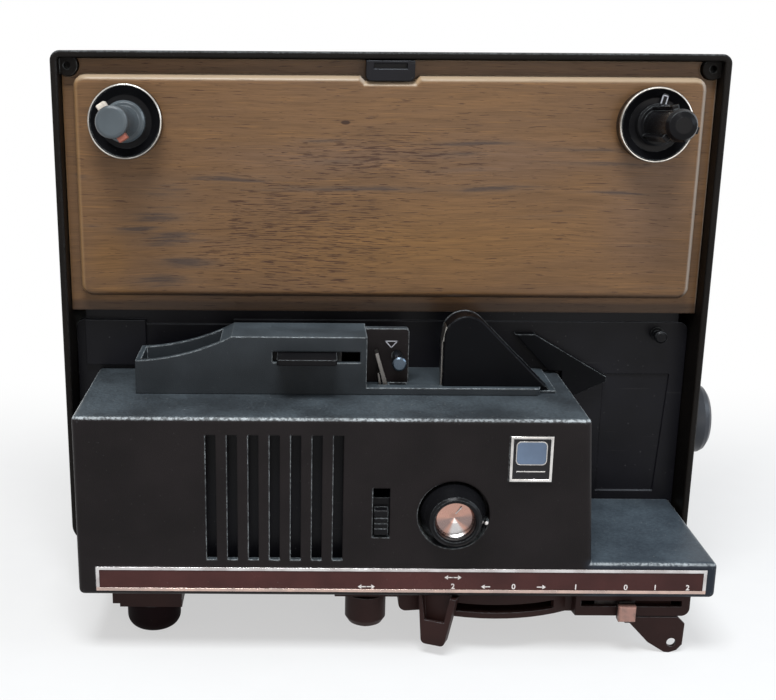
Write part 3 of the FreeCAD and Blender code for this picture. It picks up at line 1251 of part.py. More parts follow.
def motor_coils():
    half = MOTOR_W / 2
    coils = []
    for side in (-1, 1):
        z_mid = MOTOR_Z + side * 19.0
        coil = box(MOTOR_X - MOTOR_STACK / 2 - 6, MOTOR_X + MOTOR_STACK / 2 + 6, MOTOR_Y - half + 9.3,
                   MOTOR_Y - half + 25.7, z_mid - 4.7, z_mid + 4.7)
        coils.append(coil)
    return Part.makeCompound(coils)


def motor_rotor():
    rotor = rod(ROTOR_R, motor_point(MOTOR_X - MOTOR_STACK / 2), (1, 0, 0), MOTOR_STACK)
    shaft = rod(SHAFT_R, motor_point(FAN_X - FAN_W / 2 - 1), (1, 0, 0), MAIN_PULLEY_X + 5 - FAN_X + FAN_W / 2 + 1)
    return fused([rotor, shaft])


def motor_brackets():
    half = MOTOR_W / 2
    out = []
    for side in (-1, 1):
        x = MOTOR_X + side * (MOTOR_STACK / 2 + 8.0)
        plate = box(x - 1.5, x + 1.5, MOTOR_Y - 9, MOTOR_Y + half * 0.8, CASE_FLOOR, MOTOR_Z + 10)
        tongue = box(min(x, MOTOR_X + side * MOTOR_STACK / 2), max(x, MOTOR_X + side * MOTOR_STACK / 2),
                     MOTOR_Y + half * 0.8 - 4, MOTOR_Y + half * 0.8, MOTOR_Z - 20, MOTOR_Z + 10)
        hub = rod(SHAFT_R + 3.5, (x - 3.5, MOTOR_Y, MOTOR_Z), (1, 0, 0), 7.0)
        bore = rod(SHAFT_R + RUN_GAP, (x - 9, MOTOR_Y, MOTOR_Z), (1, 0, 0), 18.0)
        out.append(fused([plate, tongue, hub]).cut(bore))
    base = box(MOTOR_X - MOTOR_STACK / 2 - 7.5, MOTOR_X + MOTOR_STACK / 2 + 7.5, MOTOR_Y - 9, MOTOR_Y + half * 0.8,
               CASE_FLOOR, MOTOR_Z - half)
    return fused(out + [base])


def motor_pulley():
    return revolve(pulley(MOTOR_PULLEY_R, PULLEY_W, SHAFT_R), motor_point(MAIN_PULLEY_X), (1, 0, 0))


def fan_wheel():
    back = rod(FAN_R, motor_point(FAN_X + FAN_W / 2 - 1.2), (1, 0, 0), 1.2)
    ring = tube(FAN_R, FAN_R - 6.0, motor_point(FAN_X - FAN_W / 2), (1, 0, 0), 1.2)
    hub = rod(6.0, motor_point(FAN_X), (1, 0, 0), FAN_W / 2)
    blades = []
    for i in range(FAN_BLADES):
        blade = box(FAN_X - FAN_W / 2 + 0.5, FAN_X + FAN_W / 2 - 0.5, MOTOR_Y + FAN_R - 6.0, MOTOR_Y + FAN_R - 0.3,
                    MOTOR_Z - 0.6, MOTOR_Z + 0.6)
        blade.rotate(V(FAN_X, MOTOR_Y + FAN_R - 3, MOTOR_Z), V(1, 0, 0), 35)
        blade.rotate(V(*motor_point(FAN_X)), V(1, 0, 0), i * 360.0 / FAN_BLADES)
        blades.append(blade.common(rod(FAN_R, motor_point(FAN_X - FAN_W), (1, 0, 0), FAN_W * 2)))
    wheel = fused([back, ring, hub] + blades)
    return wheel.cut(rod(SHAFT_R, motor_point(FAN_X - FAN_W), (1, 0, 0), FAN_W * 2))


def fan_housing():
    wall = 1.6
    x0 = FAN_X - FAN_W / 2 - 1.5
    x1 = FAN_X + FAN_W / 2 + 2.0
    r_in = FAN_R + 2.0
    outer = rod(r_in + wall, motor_point(x0), (1, 0, 0), x1 - x0)
    foot = box(x0, x1, MOTOR_Y - 14, MOTOR_Y + 14, CASE_FLOOR, MOTOR_Z)
    duct = box(x0, x1, PANEL_Y + PANEL_T + 0.3, MOTOR_Y, MOTOR_Z + 6.0, MOTOR_Z + r_in + wall)
    room = [rod(r_in, motor_point(x0 - 1), (1, 0, 0), x1 - wall - x0 + 1),
            box(x0 + wall, x1 - wall, PANEL_Y, MOTOR_Y, MOTOR_Z + 6.0 + wall, MOTOR_Z + r_in),
            rod(8.0, motor_point(x1 - 3), (1, 0, 0), 9.0)]
    return fused([outer, foot, duct]).cut(Part.makeCompound(room))


def belt(axis, c1, r1, c2, r2, middle, width):
    # a band round two pulleys; c1 and c2 are (u, z) in the plane across the axis
    du = c2[0] - c1[0]
    dz = c2[1] - c1[1]
    span = math.hypot(du, dz)
    line = math.atan2(dz, du)

    def loop(grow):
        a = math.acos((r1 - r2) / span)
        points = []
        for c, r in ((c1, r1 + grow), (c2, r2 + grow)):
            for s in (1, -1):
                points.append((c[0] + r * math.cos(line + s * a), c[1] + r * math.sin(line + s * a)))
        far1 = (c1[0] - (r1 + grow) * math.cos(line), c1[1] - (r1 + grow) * math.sin(line))
        far2 = (c2[0] + (r2 + grow) * math.cos(line), c2[1] + (r2 + grow) * math.sin(line))
        p1, q1, p2, q2 = points
        place = (lambda p: V(middle - width / 2, p[0], p[1])) if axis == "x" else (
            lambda p: V(p[0], middle - width / 2, p[1]))
        edges = [Part.LineSegment(place(p1), place(p2)).toShape(), Part.Arc(place(p2), place(far2), place(q2)).toShape(),
                 Part.LineSegment(place(q2), place(q1)).toShape(), Part.Arc(place(q1), place(far1), place(p1)).toShape()]
        return Part.Face(Part.Wire(edges))
    out = V(width, 0, 0) if axis == "x" else V(0, width, 0)
    return loop(BELT_GAP + BELT_T).extrude(out).cut(loop(BELT_GAP).extrude(out))


def drive_belt():
    return belt("x", (MOTOR_Y, MOTOR_Z), MOTOR_PULLEY_R, (SHAFT_Y, SHAFT_Z), MAIN_PULLEY_R, MAIN_PULLEY_X, BELT_W)


def reel_belt(side):
    end = spindle_point(side, spindle_pulley_out(side))
    return belt("y", (SPROCKET_X, SPROCKET_Z), REEL_PULLEY_R, (end[0], end[2]), SPINDLE_PULLEY_R,
                REEL_PULLEY_YS[side], REEL_BELT_W)


def transformer():
    x = TRANSFORMER_X
    y = TRANSFORMER_Y
    mid = CASE_FLOOR + CORE_H / 2
    core = box(x - CORE_W / 2, x + CORE_W / 2, y - CORE_D / 2, y + CORE_D / 2, CASE_FLOOR, CASE_FLOOR + CORE_H)
    coil = box(x - COIL_W / 2, x + COIL_W / 2, y - COIL_D / 2, y + COIL_D / 2, mid - COIL_H / 2, mid + COIL_H / 2)
    return fused([core, coil])


def cord_inlet():
    body = box(INLET_X + 0.3, INLET_X + INLET_W - 0.3, BACK_Y - INLET_DEPTH, BACK_Y, INLET_Z + 0.3, INLET_Z + INLET_H - 0.3)
    flange = box(INLET_X - 2, INLET_X + INLET_W + 2, BACK_Y - CASE_WALL - 2.0, BACK_Y - CASE_WALL, INLET_Z - 2,
                 INLET_Z + INLET_H + 2)
    well = box(INLET_X + 3, INLET_X + INLET_W - 3, BACK_Y - INLET_DEPTH + 3, BACK_Y + 1, INLET_Z + 3, INLET_Z + INLET_H - 3)
    pins = [rod(1.8, (INLET_X + INLET_W / 2 + dx, BACK_Y - INLET_DEPTH + 2, INLET_Z + INLET_H / 2), (0, 1, 0),
                INLET_DEPTH - 8) for dx in (-5.0, 5.0)]
    return fused([fused([body, flange]).cut(well)] + pins)


# Handle on top

def carrying_handle():
    half = HANDLE_W / 2 - 0.8
    h = HANDLE_BAR / 2
    grip = box(-half, half, HANDLE_Y + 1.0, HANDLE_Y + 1.0 + HANDLE_BAR, HANDLE_PIN_Z - h, HANDLE_PIN_Z + h - 2.0)
    arms = []
    for x in (-half, half - HANDLE_ARM_W):
        arms.append(box(x, x + HANDLE_ARM_W, HANDLE_Y + 2.0, HANDLE_PIN_Y, HANDLE_PIN_Z - h, HANDLE_PIN_Z + h - 2.0))
        arms.append(rod(h, (x, HANDLE_PIN_Y, HANDLE_PIN_Z), (1, 0, 0), HANDLE_ARM_W))
    bar = fused([grip] + arms)
    bar = bar.makeFillet(2.0, edges_where(bar, lambda e: runs_along(e, "x") and e.BoundBox.XLength > 60))
    pins = [rod(HANDLE_PIN_R, (s * (half - 4), HANDLE_PIN_Y, HANDLE_PIN_Z), (s, 0, 0), 4.0 + 0.8 + CASE_WALL * 0.7)
            for s in (-1, 1)]
    return fused([bar] + pins)


# Control pod under the housing

def arc_point(turn, r):
    # a point on a circle round the lever's pivot; 0 degrees looks to the front
    a = math.radians(turn)
    return (ARC_X + r * math.sin(a), PIVOT_Y - r * math.cos(a))


def pod_outline(inset):
    # plan view: a flat front with a bay that follows the swing of the direction lever
    arc = [arc_point(-ARC_REACH + 2 * ARC_REACH * i / ARC_STEPS, ARC_R - inset) for i in range(ARC_STEPS + 1)]
    bay_end = arc[-1][0] + 2.6 + inset
    return [(POD_LEFT + inset, POD_BACK - inset), (POD_LEFT + inset, POD_FRONT + inset + 3.0)] + arc + [
        (bay_end, arc[-1][1]), (bay_end + 0.8, POD_FRONT + inset), (POD_RIGHT - inset, POD_FRONT + inset),
        (POD_RIGHT - inset, POD_BACK - inset)]


def arc_slot(extra):
    spread = math.degrees((LEVER_ARM_W / 2 + 0.8) / ARC_R)
    low = LEVER_REST - spread
    angle = LEVER_SWING + 2 * spread
    ring = Part.makeCylinder(ARC_R + 9.0, LEVER_T + 2 * extra, V(0, 0, 0), V(0, 0, 1), angle)
    ring = ring.cut(rod(ARC_R - 9.0, (0, 0, -1), (0, 0, 1), LEVER_T + 9.0))
    ring.rotate(V(0, 0, 0), V(0, 0, 1), low - 90.0)
    ring.translate(V(ARC_X, PIVOT_Y, ARC_Z - extra))
    return ring


def control_pod():
    outer = prism_xy(pod_outline(0.0), POD_BOTTOM, HOUSE_BOTTOM)
    lower = [e for e in edges_where(outer, lambda e: runs_along(e, "y") and e.BoundBox.ZMax < POD_BOTTOM + 0.1)
             if e.BoundBox.XMin > POD_RIGHT - 0.1 or e.BoundBox.XMax < POD_LEFT + 0.1]
    outer = outer.makeFillet(3.4, lower)
    inner = prism_xy(pod_outline(POD_WALL), POD_BOTTOM + 1.6, HOUSE_BOTTOM + 1)
    rear = box(POD_LEFT - 1, POD_RIGHT + 1, -0.4, POD_BACK + 1, POD_REAR_TOP, HOUSE_BOTTOM + 1)
    power_slot = box(POWER_X - 18.0, POWER_X + POWER_W / 2 + POWER_TRAVEL + 1.0, POD_FRONT - 1,
                     POD_FRONT + POD_WALL + 1, POWER_Z + 2.6, POWER_Z + 5.2)
    pod = outer.cut(Part.makeCompound([inner, rear, power_slot])).cut(arc_slot(0.6))
    post = rod(PIVOT_R, (ARC_X, PIVOT_Y, POD_BOTTOM + 0.5), (0, 0, 1), POD_REAR_TOP - POD_BOTTOM - 0.5)
    lugs = []
    for x in LEG_LUG_XS:
        lugs.append(box(x, x + LEG_LUG_W, LEG_PIN_Y - LEG_LUG_R, LEG_PIN_Y + LEG_LUG_BACK, LEG_PIN_Z, POD_BOTTOM + 0.5))
        lugs.append(rod(LEG_LUG_R, (x, LEG_PIN_Y, LEG_PIN_Z), (1, 0, 0), LEG_LUG_W))
    pin = rod(LEG_PIN_R, (LEG_LUG_XS[0], LEG_PIN_Y, LEG_PIN_Z), (1, 0, 0),
              LEG_LUG_XS[1] + LEG_LUG_W - LEG_LUG_XS[0])
    return fused([pod, post, pin] + lugs)


def direction_lever():
    r_back = ARC_R + LEVER_GAP
    y_back = PIVOT_Y - r_back
    y_front = y_back - LEVER_DEPTH
    z = ARC_Z
    half = LEVER_ARM_W / 2
    arm = box(ARC_X - half, ARC_X + half, y_back - 0.5, PIVOT_Y, z, z + LEVER_T)
    hub = rod(PIVOT_R + 3.5, (ARC_X, PIVOT_Y, z), (0, 0, 1), LEVER_T + 2.6)
    left = (ARC_X - 5.1, ARC_X - 3.5)
    right = (ARC_X + 10.6, ARC_X + 6.1)
    body = polygon_xz([(left[0], LEVER_TOP), (right[0], LEVER_TOP), (right[1], LEVER_BOTTOM), (left[1], LEVER_BOTTOM)],
                      y_front, y_back)
    low = edges_where(body, lambda e: e.BoundBox.ZMax < LEVER_BOTTOM + 0.1 and e.BoundBox.XLength < 0.1)
    body = body.makeFillet(2.0, low)
    wall = 1.2
    slant = (right[0] - right[1]) / (LEVER_TOP - LEVER_BOTTOM)
    low_z = LEVER_LIP_Z - 6.0
    hollow = polygon_xz([(left[0] + wall, LEVER_TOP + 1), (right[0] - 2.4, LEVER_TOP + 1),
                         (right[1] - 2.4 + slant * (low_z - LEVER_BOTTOM), low_z), (left[1] + wall, low_z)],
                        y_front + wall, y_back - wall)
    mouth = polygon_xz([(left[0] + wall, LEVER_TOP + 1), (right[0] - 2.4, LEVER_TOP + 1),
                        (right[1] - 2.4 + slant * (LEVER_LIP_Z - LEVER_BOTTOM), LEVER_LIP_Z),
                        (left[1] + wall, LEVER_LIP_Z)], y_front - 1, y_front + wall + 1)
    lever = fused([arm, hub, body.cut(hollow).cut(mouth)])
    lever = lever.cut(rod(PIVOT_R + RUN_GAP, (ARC_X, PIVOT_Y, 0), (0, 0, 1), 60.0))
    lever.rotate(V(ARC_X, PIVOT_Y, 0), V(0, 0, 1), LEVER_REST)
    return lever


def frame_knob():
    shaft_top = FRAME_KNOB_H + FRAME_SHAFT_L
    profile = [(0, 0), (0, FRAME_R - FRAME_EDGE), (1.0, FRAME_R - 1.4), (FRAME_EDGE, FRAME_R), (FRAME_KNOB_H, FRAME_R),
               (FRAME_KNOB_H, FRAME_SHAFT_R), (shaft_top, FRAME_SHAFT_R), (shaft_top, 0)]
    return revolve(profile, (FRAME_X, FRAME_Y, FRAME_BOTTOM), (0, 0, 1))


def power_slide():
    half = POWER_W / 2
    tab = box(POWER_X - half, POWER_X + half, POD_FRONT - POWER_OUT, POD_FRONT - 0.3, POWER_Z - 2.2, POWER_Z + 4.6)
    tab = tab.makeFillet(0.9, edges_where(tab, lambda e: e.BoundBox.YMax < POD_FRONT - 0.4))
    neck = box(POWER_X - 2.5, POWER_X + 2.5, POD_FRONT - 0.4, POD_FRONT + POD_WALL + 0.5, POWER_Z + 2.9, POWER_Z + 4.9)
    plate = box(POWER_X - 12.0, POWER_X + 4.6, POD_FRONT + POD_WALL + 0.3, POD_FRONT + POD_WALL + 2.3,
                POWER_Z + 0.8, POWER_Z + 7.4)
    return fused([tab, neck, plate])


def power_switch():
    y = POD_FRONT + POD_WALL + 2.6
    return box(POWER_X - 10.0, POWER_X + 20.0, y, y + 14.0, POD_BOTTOM + 1.6, HOUSE_BOTTOM)


def elevating_leg():
    x0 = POWER_X
    x1 = x0 + LEG_W
    outline = [(x0, LEG_TOP), (x0 + 3.0, LEG_TOP - 3.4), (x1 - 14.5, 4.6), (x1 - 7.5, 0.2), (x1 - 5.5, 0.0),
               (x1 - 2.4, 1.1), (x1 - 0.3, 3.7), (x1, LEG_TOP - 3.0), (x1 - 3.0, LEG_TOP)]
    plate = polygon_xz(outline, LEG_Y, LEG_Y + LEG_T)
    hole = rod(LEG_HOLE_R, (x1 - 4.8, LEG_Y - 1, 4.6), (0, 1, 0), 9.0)
    x_low = LEG_LUG_XS[0] + LEG_LUG_W + 0.3
    x_high = LEG_LUG_XS[1] - 0.3
    knuckle = rod(LEG_PIN_R + 1.1, (x_low, LEG_PIN_Y, LEG_PIN_Z), (1, 0, 0), x_high - x_low)
    web = box(x_low, x_high, LEG_Y + LEG_T * 0.5, LEG_PIN_Y, LEG_PIN_Z - 1.2, LEG_PIN_Z + 1.2)
    bore = rod(LEG_PIN_R + RUN_GAP, (x_low - 1, LEG_PIN_Y, LEG_PIN_Z), (1, 0, 0), x_high - x_low + 2)
    return fused([plate, knuckle, web]).cut(Part.makeCompound([hole, bore]))


PIECES = {
    "rear_case": rear_case(),
    "wood_panel": wood_panel(),
    "latch_keeper": latch_keeper(),
    "mechanism_panel": mechanism_panel(),
    "front_housing": front_housing(),
    "strip_frame": strip_trim(),
    "strip_field": strip_field(),
    "badge": Part.makeCompound([badge_frame(), badge_field()]),
    "heat_shield": heat_shield(),
    "base_plate": base_plate(),
    "rubber_feet": rubber_feet(),
    "film_deck": film_deck(),
    "load_plate": load_plate(),
    "load_pin": load_pin(),
    "film_guides": Part.makeCompound([film_stripper(), guide_leaf()]),
    "dome_guide": dome_guide(),
    "wedge_guide": wedge_guide(),
    "lid_stud": lid_stud(),
    "left_spindle_shaft": fused([spindle_shaft("left"), spindle_pulley("left")]),
    "right_spindle_shaft": fused([spindle_shaft("right"), spindle_pulley("right")]),
    "left_spindle_drum": fused([spindle_drum("left"), drum_trim("left")]),
    "right_spindle_drum": fused([spindle_drum("right"), drum_trim("right"), drum_rib()]),
    "left_spindle_keys": spindle_keys(),
    "bearing_bushes": Part.makeCompound([spindle_bush("left"), spindle_bush("right"), sprocket_bush()]),
    "load_slider": load_slider(),
    "speed_slide": speed_slide(),
    "focus_knob": focus_knob(),
    "focus_disc": focus_disc(),
    "focus_shaft": focus_shaft(),
    "lens_barrel": lens_barrel(),
    "lens_elements": lens_elements(),
    "lens_holder": lens_holder(),
    "aperture_plate": aperture_plate(),
    "pressure_plate": pressure_plate(),
    "gate_bracket": Part.makeCompound([gate_bracket(), claw_guide()]),
    "pulldown_claw": pulldown_claw(),
    "lamp_reflector": reflector(),
    "lamp_bulb": lamp_bulb(),
    "lamp_socket": lamp_socket(),
    "main_shaft": fused([main_shaft(), main_pulley()]),
    "inching_knob": inching_knob(),
    "shutter": shutter(),
    "shaft_bearings": shaft_bearings(),
    "sprocket": fused([sprocket(), reel_pulleys()]),
    "sprocket_gear": sprocket_gear(),
    "motor_stator": Part.makeCompound([motor_stack(), motor_coils()]),
    "motor_rotor": fused([motor_rotor(), motor_pulley()]),
    "motor_bracket": motor_brackets(),
    "fan_wheel": fan_wheel(),
    "fan_housing": fan_housing(),
    "belts": Part.makeCompound([drive_belt(), reel_belt("left"), reel_belt("right")]),
    "transformer": transformer(),
    "cord_inlet": cord_inlet(),
    "carrying_handle": carrying_handle(),
    "control_pod": Part.makeCompound([control_pod(), power_switch()]),
    "direction_lever": direction_lever(),
    "frame_knob": frame_knob(),
    "power_slide": power_slide(),
    "elevating_leg": elevating_leg(),
}

# The middle of the footprint comes to x = 0, y = 0; the table stays at z = 0
X_MAX = INCH_X + INCH_PROUD
Y_MIN = FRONT_Y - FOCUS_PROUD
ORIGIN = V((CASE_W / 2 - X_MAX) / 2, -(Y_MIN + BACK_Y) / 2, 0)

os.makedirs("parts", exist_ok=True)
for name, shape in PIECES.items():
    shape.translate(ORIGIN)
    shape.exportStep("parts/" + name + ".step")
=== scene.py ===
# %% [markdown]
# # A movie projector, dressed for its portrait
# The solid model gives every piece of the machine at its real size. This script brings it in, sets the camera
# where the photograph was taken, lights a plain studio, and gives each piece its finish. Thin things that are
# only finish on the real machine, such as the bright rings, the badge and the printed marks, are modelled here.

# %% Load the solid model
import json
import math
import bmesh
import bpy
from mathutils import Matrix, Vector


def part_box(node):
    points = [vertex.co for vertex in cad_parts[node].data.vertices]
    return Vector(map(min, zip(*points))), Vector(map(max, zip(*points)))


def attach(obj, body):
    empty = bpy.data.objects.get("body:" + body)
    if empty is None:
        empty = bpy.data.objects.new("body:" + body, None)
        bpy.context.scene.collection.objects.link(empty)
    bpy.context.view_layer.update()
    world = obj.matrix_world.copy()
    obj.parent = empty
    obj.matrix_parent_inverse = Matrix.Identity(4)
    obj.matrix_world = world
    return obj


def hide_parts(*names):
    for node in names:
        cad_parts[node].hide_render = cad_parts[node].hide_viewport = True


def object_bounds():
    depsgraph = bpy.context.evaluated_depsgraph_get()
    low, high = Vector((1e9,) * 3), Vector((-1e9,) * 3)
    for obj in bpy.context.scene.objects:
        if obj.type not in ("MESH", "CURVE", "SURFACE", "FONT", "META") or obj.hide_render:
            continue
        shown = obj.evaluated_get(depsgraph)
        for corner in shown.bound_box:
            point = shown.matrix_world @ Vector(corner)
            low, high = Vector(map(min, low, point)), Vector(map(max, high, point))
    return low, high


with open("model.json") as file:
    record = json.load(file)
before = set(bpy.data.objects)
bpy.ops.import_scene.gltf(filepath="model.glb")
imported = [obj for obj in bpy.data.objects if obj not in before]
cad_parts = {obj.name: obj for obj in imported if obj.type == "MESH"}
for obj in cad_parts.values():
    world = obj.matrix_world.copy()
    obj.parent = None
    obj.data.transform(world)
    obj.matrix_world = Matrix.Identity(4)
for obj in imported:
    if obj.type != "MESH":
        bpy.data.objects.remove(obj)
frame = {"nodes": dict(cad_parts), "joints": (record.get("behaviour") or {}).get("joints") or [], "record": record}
nodes = frame["nodes"]
joints = {joint["name"]: joint for joint in frame["joints"]}
cad_low, cad_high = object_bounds()
MM = 0.001
print("pieces in the solid model:", len(nodes))
print("its size in mm:", [round((b - a) / MM, 1) for a, b in zip(cad_low, cad_high)])

# %% [markdown]
# ## The camera
# A camera can be put by eye, but the machine has many straight edges, and those tell where the photograph was
# taken: about half a metre in front of the case, level with its top and looking down by seventeen degrees.
# The picture was cropped off centre, so the lens is shifted by the same amount, and nothing is tilted for it.

# %% Camera
PHOTO_WIDTH = 776
PHOTO_HEIGHT = 700
EYE = Vector((-0.0403, -0.5433, 0.2488))
LOOK_DOWN = 16.6
ROLL = 0.35
FOCAL_PIXELS = 1273.0
CENTRE_PIXEL = (302.0, 400.0)
SENSOR = 36.0

camera = bpy.data.objects.new("camera", bpy.data.cameras.new("camera"))
bpy.context.scene.collection.objects.link(camera)
camera.data.sensor_width = SENSOR
camera.data.lens = FOCAL_PIXELS * SENSOR / PHOTO_WIDTH
camera.data.shift_x = (PHOTO_WIDTH / 2 - CENTRE_PIXEL[0]) / PHOTO_WIDTH
camera.data.shift_y = (CENTRE_PIXEL[1] - PHOTO_HEIGHT / 2) / PHOTO_WIDTH
camera.data.clip_start = 0.02
turn = Matrix.Rotation(math.radians(90 - LOOK_DOWN), 4, "X") @ Matrix.Rotation(math.radians(ROLL), 4, "Z")
camera.matrix_world = Matrix.Translation(EYE) @ turn
bpy.context.scene.camera = camera
bpy.context.scene.view_settings.view_transform = "Standard"
print("lens:", round(camera.data.lens, 1), "mm, shift:", round(camera.data.shift_x, 3), round(camera.data.shift_y, 3))

# %% [markdown]
# ## Building a finish from nodes
# Each finish is a Principled shader with patterns wired into its colour, roughness and bump. Wiring nodes one
# by one takes many lines, so this small class keeps one material and makes a node with its inputs in one call.
# Every pattern is laid out on Object coordinates, which here are metres on the machine itself.

# %% A helper for materials
class Finish:
    """One material. make() adds a node, and the other calls add the patterns that most finishes need."""

    def __init__(self, name, **sockets):
        self.material = bpy.data.materials.new(name)
        self.material.use_nodes = True
        self.tree = self.material.node_tree
        self.shader = self.tree.nodes["Principled BSDF"]
        for socket, value in sockets.items():
            self.shader.inputs[socket.replace("_", " ")].default_value = value
        self.place = self.make("ShaderNodeTexCoord").outputs["Object"]
        spot = self.make("ShaderNodeSeparateXYZ", {0: self.place}).outputs
        self.x, self.y, self.z = spot["X"], spot["Y"], spot["Z"]

    def make(self, kind, inputs=(), **settings):
        made = self.tree.nodes.new(kind)
        for key, value in settings.items():
            setattr(made, key, value)
        for key, value in dict(inputs).items():
            self.give(made.inputs[key], value)
        return made

    def give(self, socket, value):
        if isinstance(value, bpy.types.NodeSocket):
            self.tree.links.new(value, socket)
        else:
            socket.default_value = value

    def scaled(self, scale, vector=None, offset=(0, 0, 0)):
        source = self.place if vector is None else vector
        return self.make("ShaderNodeMapping", {"Vector": source, "Scale": scale, "Location": offset}).outputs[0]

    def noise(self, scale, detail=2.0, rough=0.5, vector=None, offset=(0, 0, 0)):
        size = (scale, scale, scale) if isinstance(scale, (int, float)) else scale
        spot = self.scaled(size, vector, offset)
        made = self.make("ShaderNodeTexNoise", {"Vector": spot, "Scale": 1.0, "Detail": detail, "Roughness": rough})
        return made.outputs["Fac"]

    def cells(self, scale, feature="F1", vector=None):
        spot = self.scaled((scale, scale, scale), vector)
        return self.make("ShaderNodeTexVoronoi", {"Vector": spot, "Scale": 1.0}, feature=feature)

    def math(self, operation, a, b=0.0):
        return self.make("ShaderNodeMath", {0: a, 1: b}, operation=operation).outputs[0]

    def times(self, *values):
        result = values[0]
        for value in values[1:]:
            result = self.math("MULTIPLY", result, value)
        return result

    def between(self, value, low, high, to_low=0.0, to_high=1.0):
        inputs = {"Value": value, "From Min": low, "From Max": high, "To Min": to_low, "To Max": to_high}
        return self.make("ShaderNodeMapRange", inputs, interpolation_type="SMOOTHSTEP").outputs["Result"]

    def blend(self, amount, a, b, how="MIX"):
        inputs = {0: amount, 6: opaque(a), 7: opaque(b)}
        return self.make("ShaderNodeMix", inputs, data_type="RGBA", blend_type=how).outputs[2]

    def rounded(self, radius):
        return self.make("ShaderNodeBevel", {"Radius": radius * MM}, samples=4).outputs[0]

    def edges(self, soft):
        facing = self.make("ShaderNodeNewGeometry").outputs["Normal"]
        same = self.make("ShaderNodeVectorMath", {0: soft, 1: facing}, operation="DOT_PRODUCT").outputs["Value"]
        return self.between(same, 0.995, 0.86)

    def faces(self, axis, low=0.55, high=0.95, normal=None):
        """1 where the surface faces along the axis."""
        facing = self.make("ShaderNodeNewGeometry").outputs["Normal"] if normal is None else normal
        return self.between(self.make("ShaderNodeSeparateXYZ", {0: facing}).outputs[axis], low, high)

    def bump(self, height, distance, strength=1.0, normal=None):
        inputs = {"Height": height, "Distance": distance * MM, "Strength": strength}
        if normal is not None:
            inputs["Normal"] = normal
        return self.make("ShaderNodeBump", inputs).outputs[0]

    def wear(self, **sockets):
        for socket, value in sockets.items():
            self.give(self.shader.inputs[socket.replace("_", " ")], value)
        return self.material


def opaque(colour):
    """A colour of three numbers gets its alpha; a socket passes through."""
    if isinstance(colour, bpy.types.NodeSocket) or len(colour) == 4:
        return colour
    return (*colour, 1.0)


def shade(colour, amount):
    return [part * amount for part in colour]


# %% [markdown]
# ## Moulded plastics
# The case and the front housing are moulded in charcoal plastic with a fine leather grain pressed into it, so
# they shine only a little, and mostly where light grazes them. The grain is a Voronoi cell pattern with a
# little noise, as bump. The edges that face up or to the right are lighter, partly from handling and partly as
# a painted highlight, and a band on rounded edges is a painted highlight too. A bluish layer lies on top,
# partly dust and partly a painted sheen of the light from above, and the shelf at the front right is painted
# lighter and bluer, as painted light from the right.
# The lightened edges come from the Bevel node: where its rounded normal differs from the true one, there is an edge.

# %% Grained and smooth plastic
DUST_AND_SHEEN_COLOUR = (0.20, 0.26, 0.30)
EDGE_WEAR_AND_HIGHLIGHT = (0.46, 0.50, 0.52)
SHELF_FROM = (0.071, 0.077)
SHELF_BELOW = (0.0450, 0.0425)


def plastic(name, colour, grain, depth, rough, shine=0.12, dust_and_sheen=0.0, edge_wear_and_highlight_amount=0.6, soften=0.6, specks=0.4,
            edge_wear_and_highlight_colour=EDGE_WEAR_AND_HIGHLIGHT, shelf_painted_light=None, band=0.0):
    """grain is the size of one cell in millimetres, depth how deep it is pressed; the bluish layer on top is partly
    dust and partly a painted sheen, and one argument sets how thick it lies.
    """
    finish = Finish(name, Specular_IOR_Level=shine)
    soft = finish.rounded(soften)
    cell = finish.cells(1 / (grain * MM), "DISTANCE_TO_EDGE").outputs["Distance"]
    fine = finish.noise(2.2 / (grain * MM), detail=3.0)
    leather = finish.math("ADD", finish.between(cell, 0.0, 0.3), finish.math("MULTIPLY", fine, 0.6))
    cloudy = finish.noise(42.0, detail=4.0)
    mottled = finish.noise(900.0, detail=2.0)
    tone = finish.blend(finish.between(cloudy, 0.3, 0.7), shade(colour, 0.82), shade(colour, 1.2))
    # Painted light: the shelf at the front right gets a lighter, bluer colour for the cool light from the right.
    if shelf_painted_light is not None:
        here = finish.times(finish.between(finish.x, *SHELF_FROM), finish.between(finish.z, *SHELF_BELOW))
        tone = finish.blend(here, tone, shelf_painted_light)
    # Faces that look up get a bluish layer: partly dust, partly a painted sheen of the light from above.
    dust_and_sheen_mask = finish.times(finish.faces("Z"), finish.between(cloudy, 0.3, 0.7, 0.6, 1.3),
                         finish.between(mottled, 0.3, 0.7, 0.75, 1.2), dust_and_sheen)
    tone = finish.blend(dust_and_sheen_mask, tone, DUST_AND_SHEEN_COLOUR)
    # Edges that face up or right are lightened, partly wear and partly a painted highlight; the band on rounded edges
    # is a painted highlight.
    lit = finish.math("MAXIMUM", finish.faces("Z", 0.05, 0.6, soft), finish.faces("X", 0.2, 0.7, soft))
    painted_band_highlight = finish.times(finish.faces("Z", 0.34, 0.55, soft), finish.faces("Z", 0.88, 0.78, soft), band)
    worn_and_lit_edge = finish.math("MAXIMUM", finish.math("MULTIPLY", finish.edges(soft), lit), painted_band_highlight)
    edge_wear_and_highlight_mask = finish.times(worn_and_lit_edge, finish.between(cloudy, 0.3, 0.6, 0.55, 1.0),
                        finish.between(mottled, 0.36, 0.62, 0.25, 1.0), edge_wear_and_highlight_amount)
    tone = finish.blend(edge_wear_and_highlight_mask, tone, edge_wear_and_highlight_colour)
    speck = finish.between(finish.cells(520.0).outputs["Distance"], 0.16, 0.07)
    chance = finish.noise(900.0, detail=0.0, offset=(0.3, 0.1, 0.7))
    speck = finish.times(speck, finish.between(chance, 0.60, 0.64), finish.faces("Z", -0.2, 0.9), specks)
    tone = finish.blend(speck, tone, (0.42, 0.42, 0.40))
    dull = finish.between(cloudy, 0.25, 0.75, rough - 0.05, rough + 0.06)
    return finish.wear(Base_Color=tone, Roughness=dull, Normal=finish.bump(leather, depth, 1.0, soft))


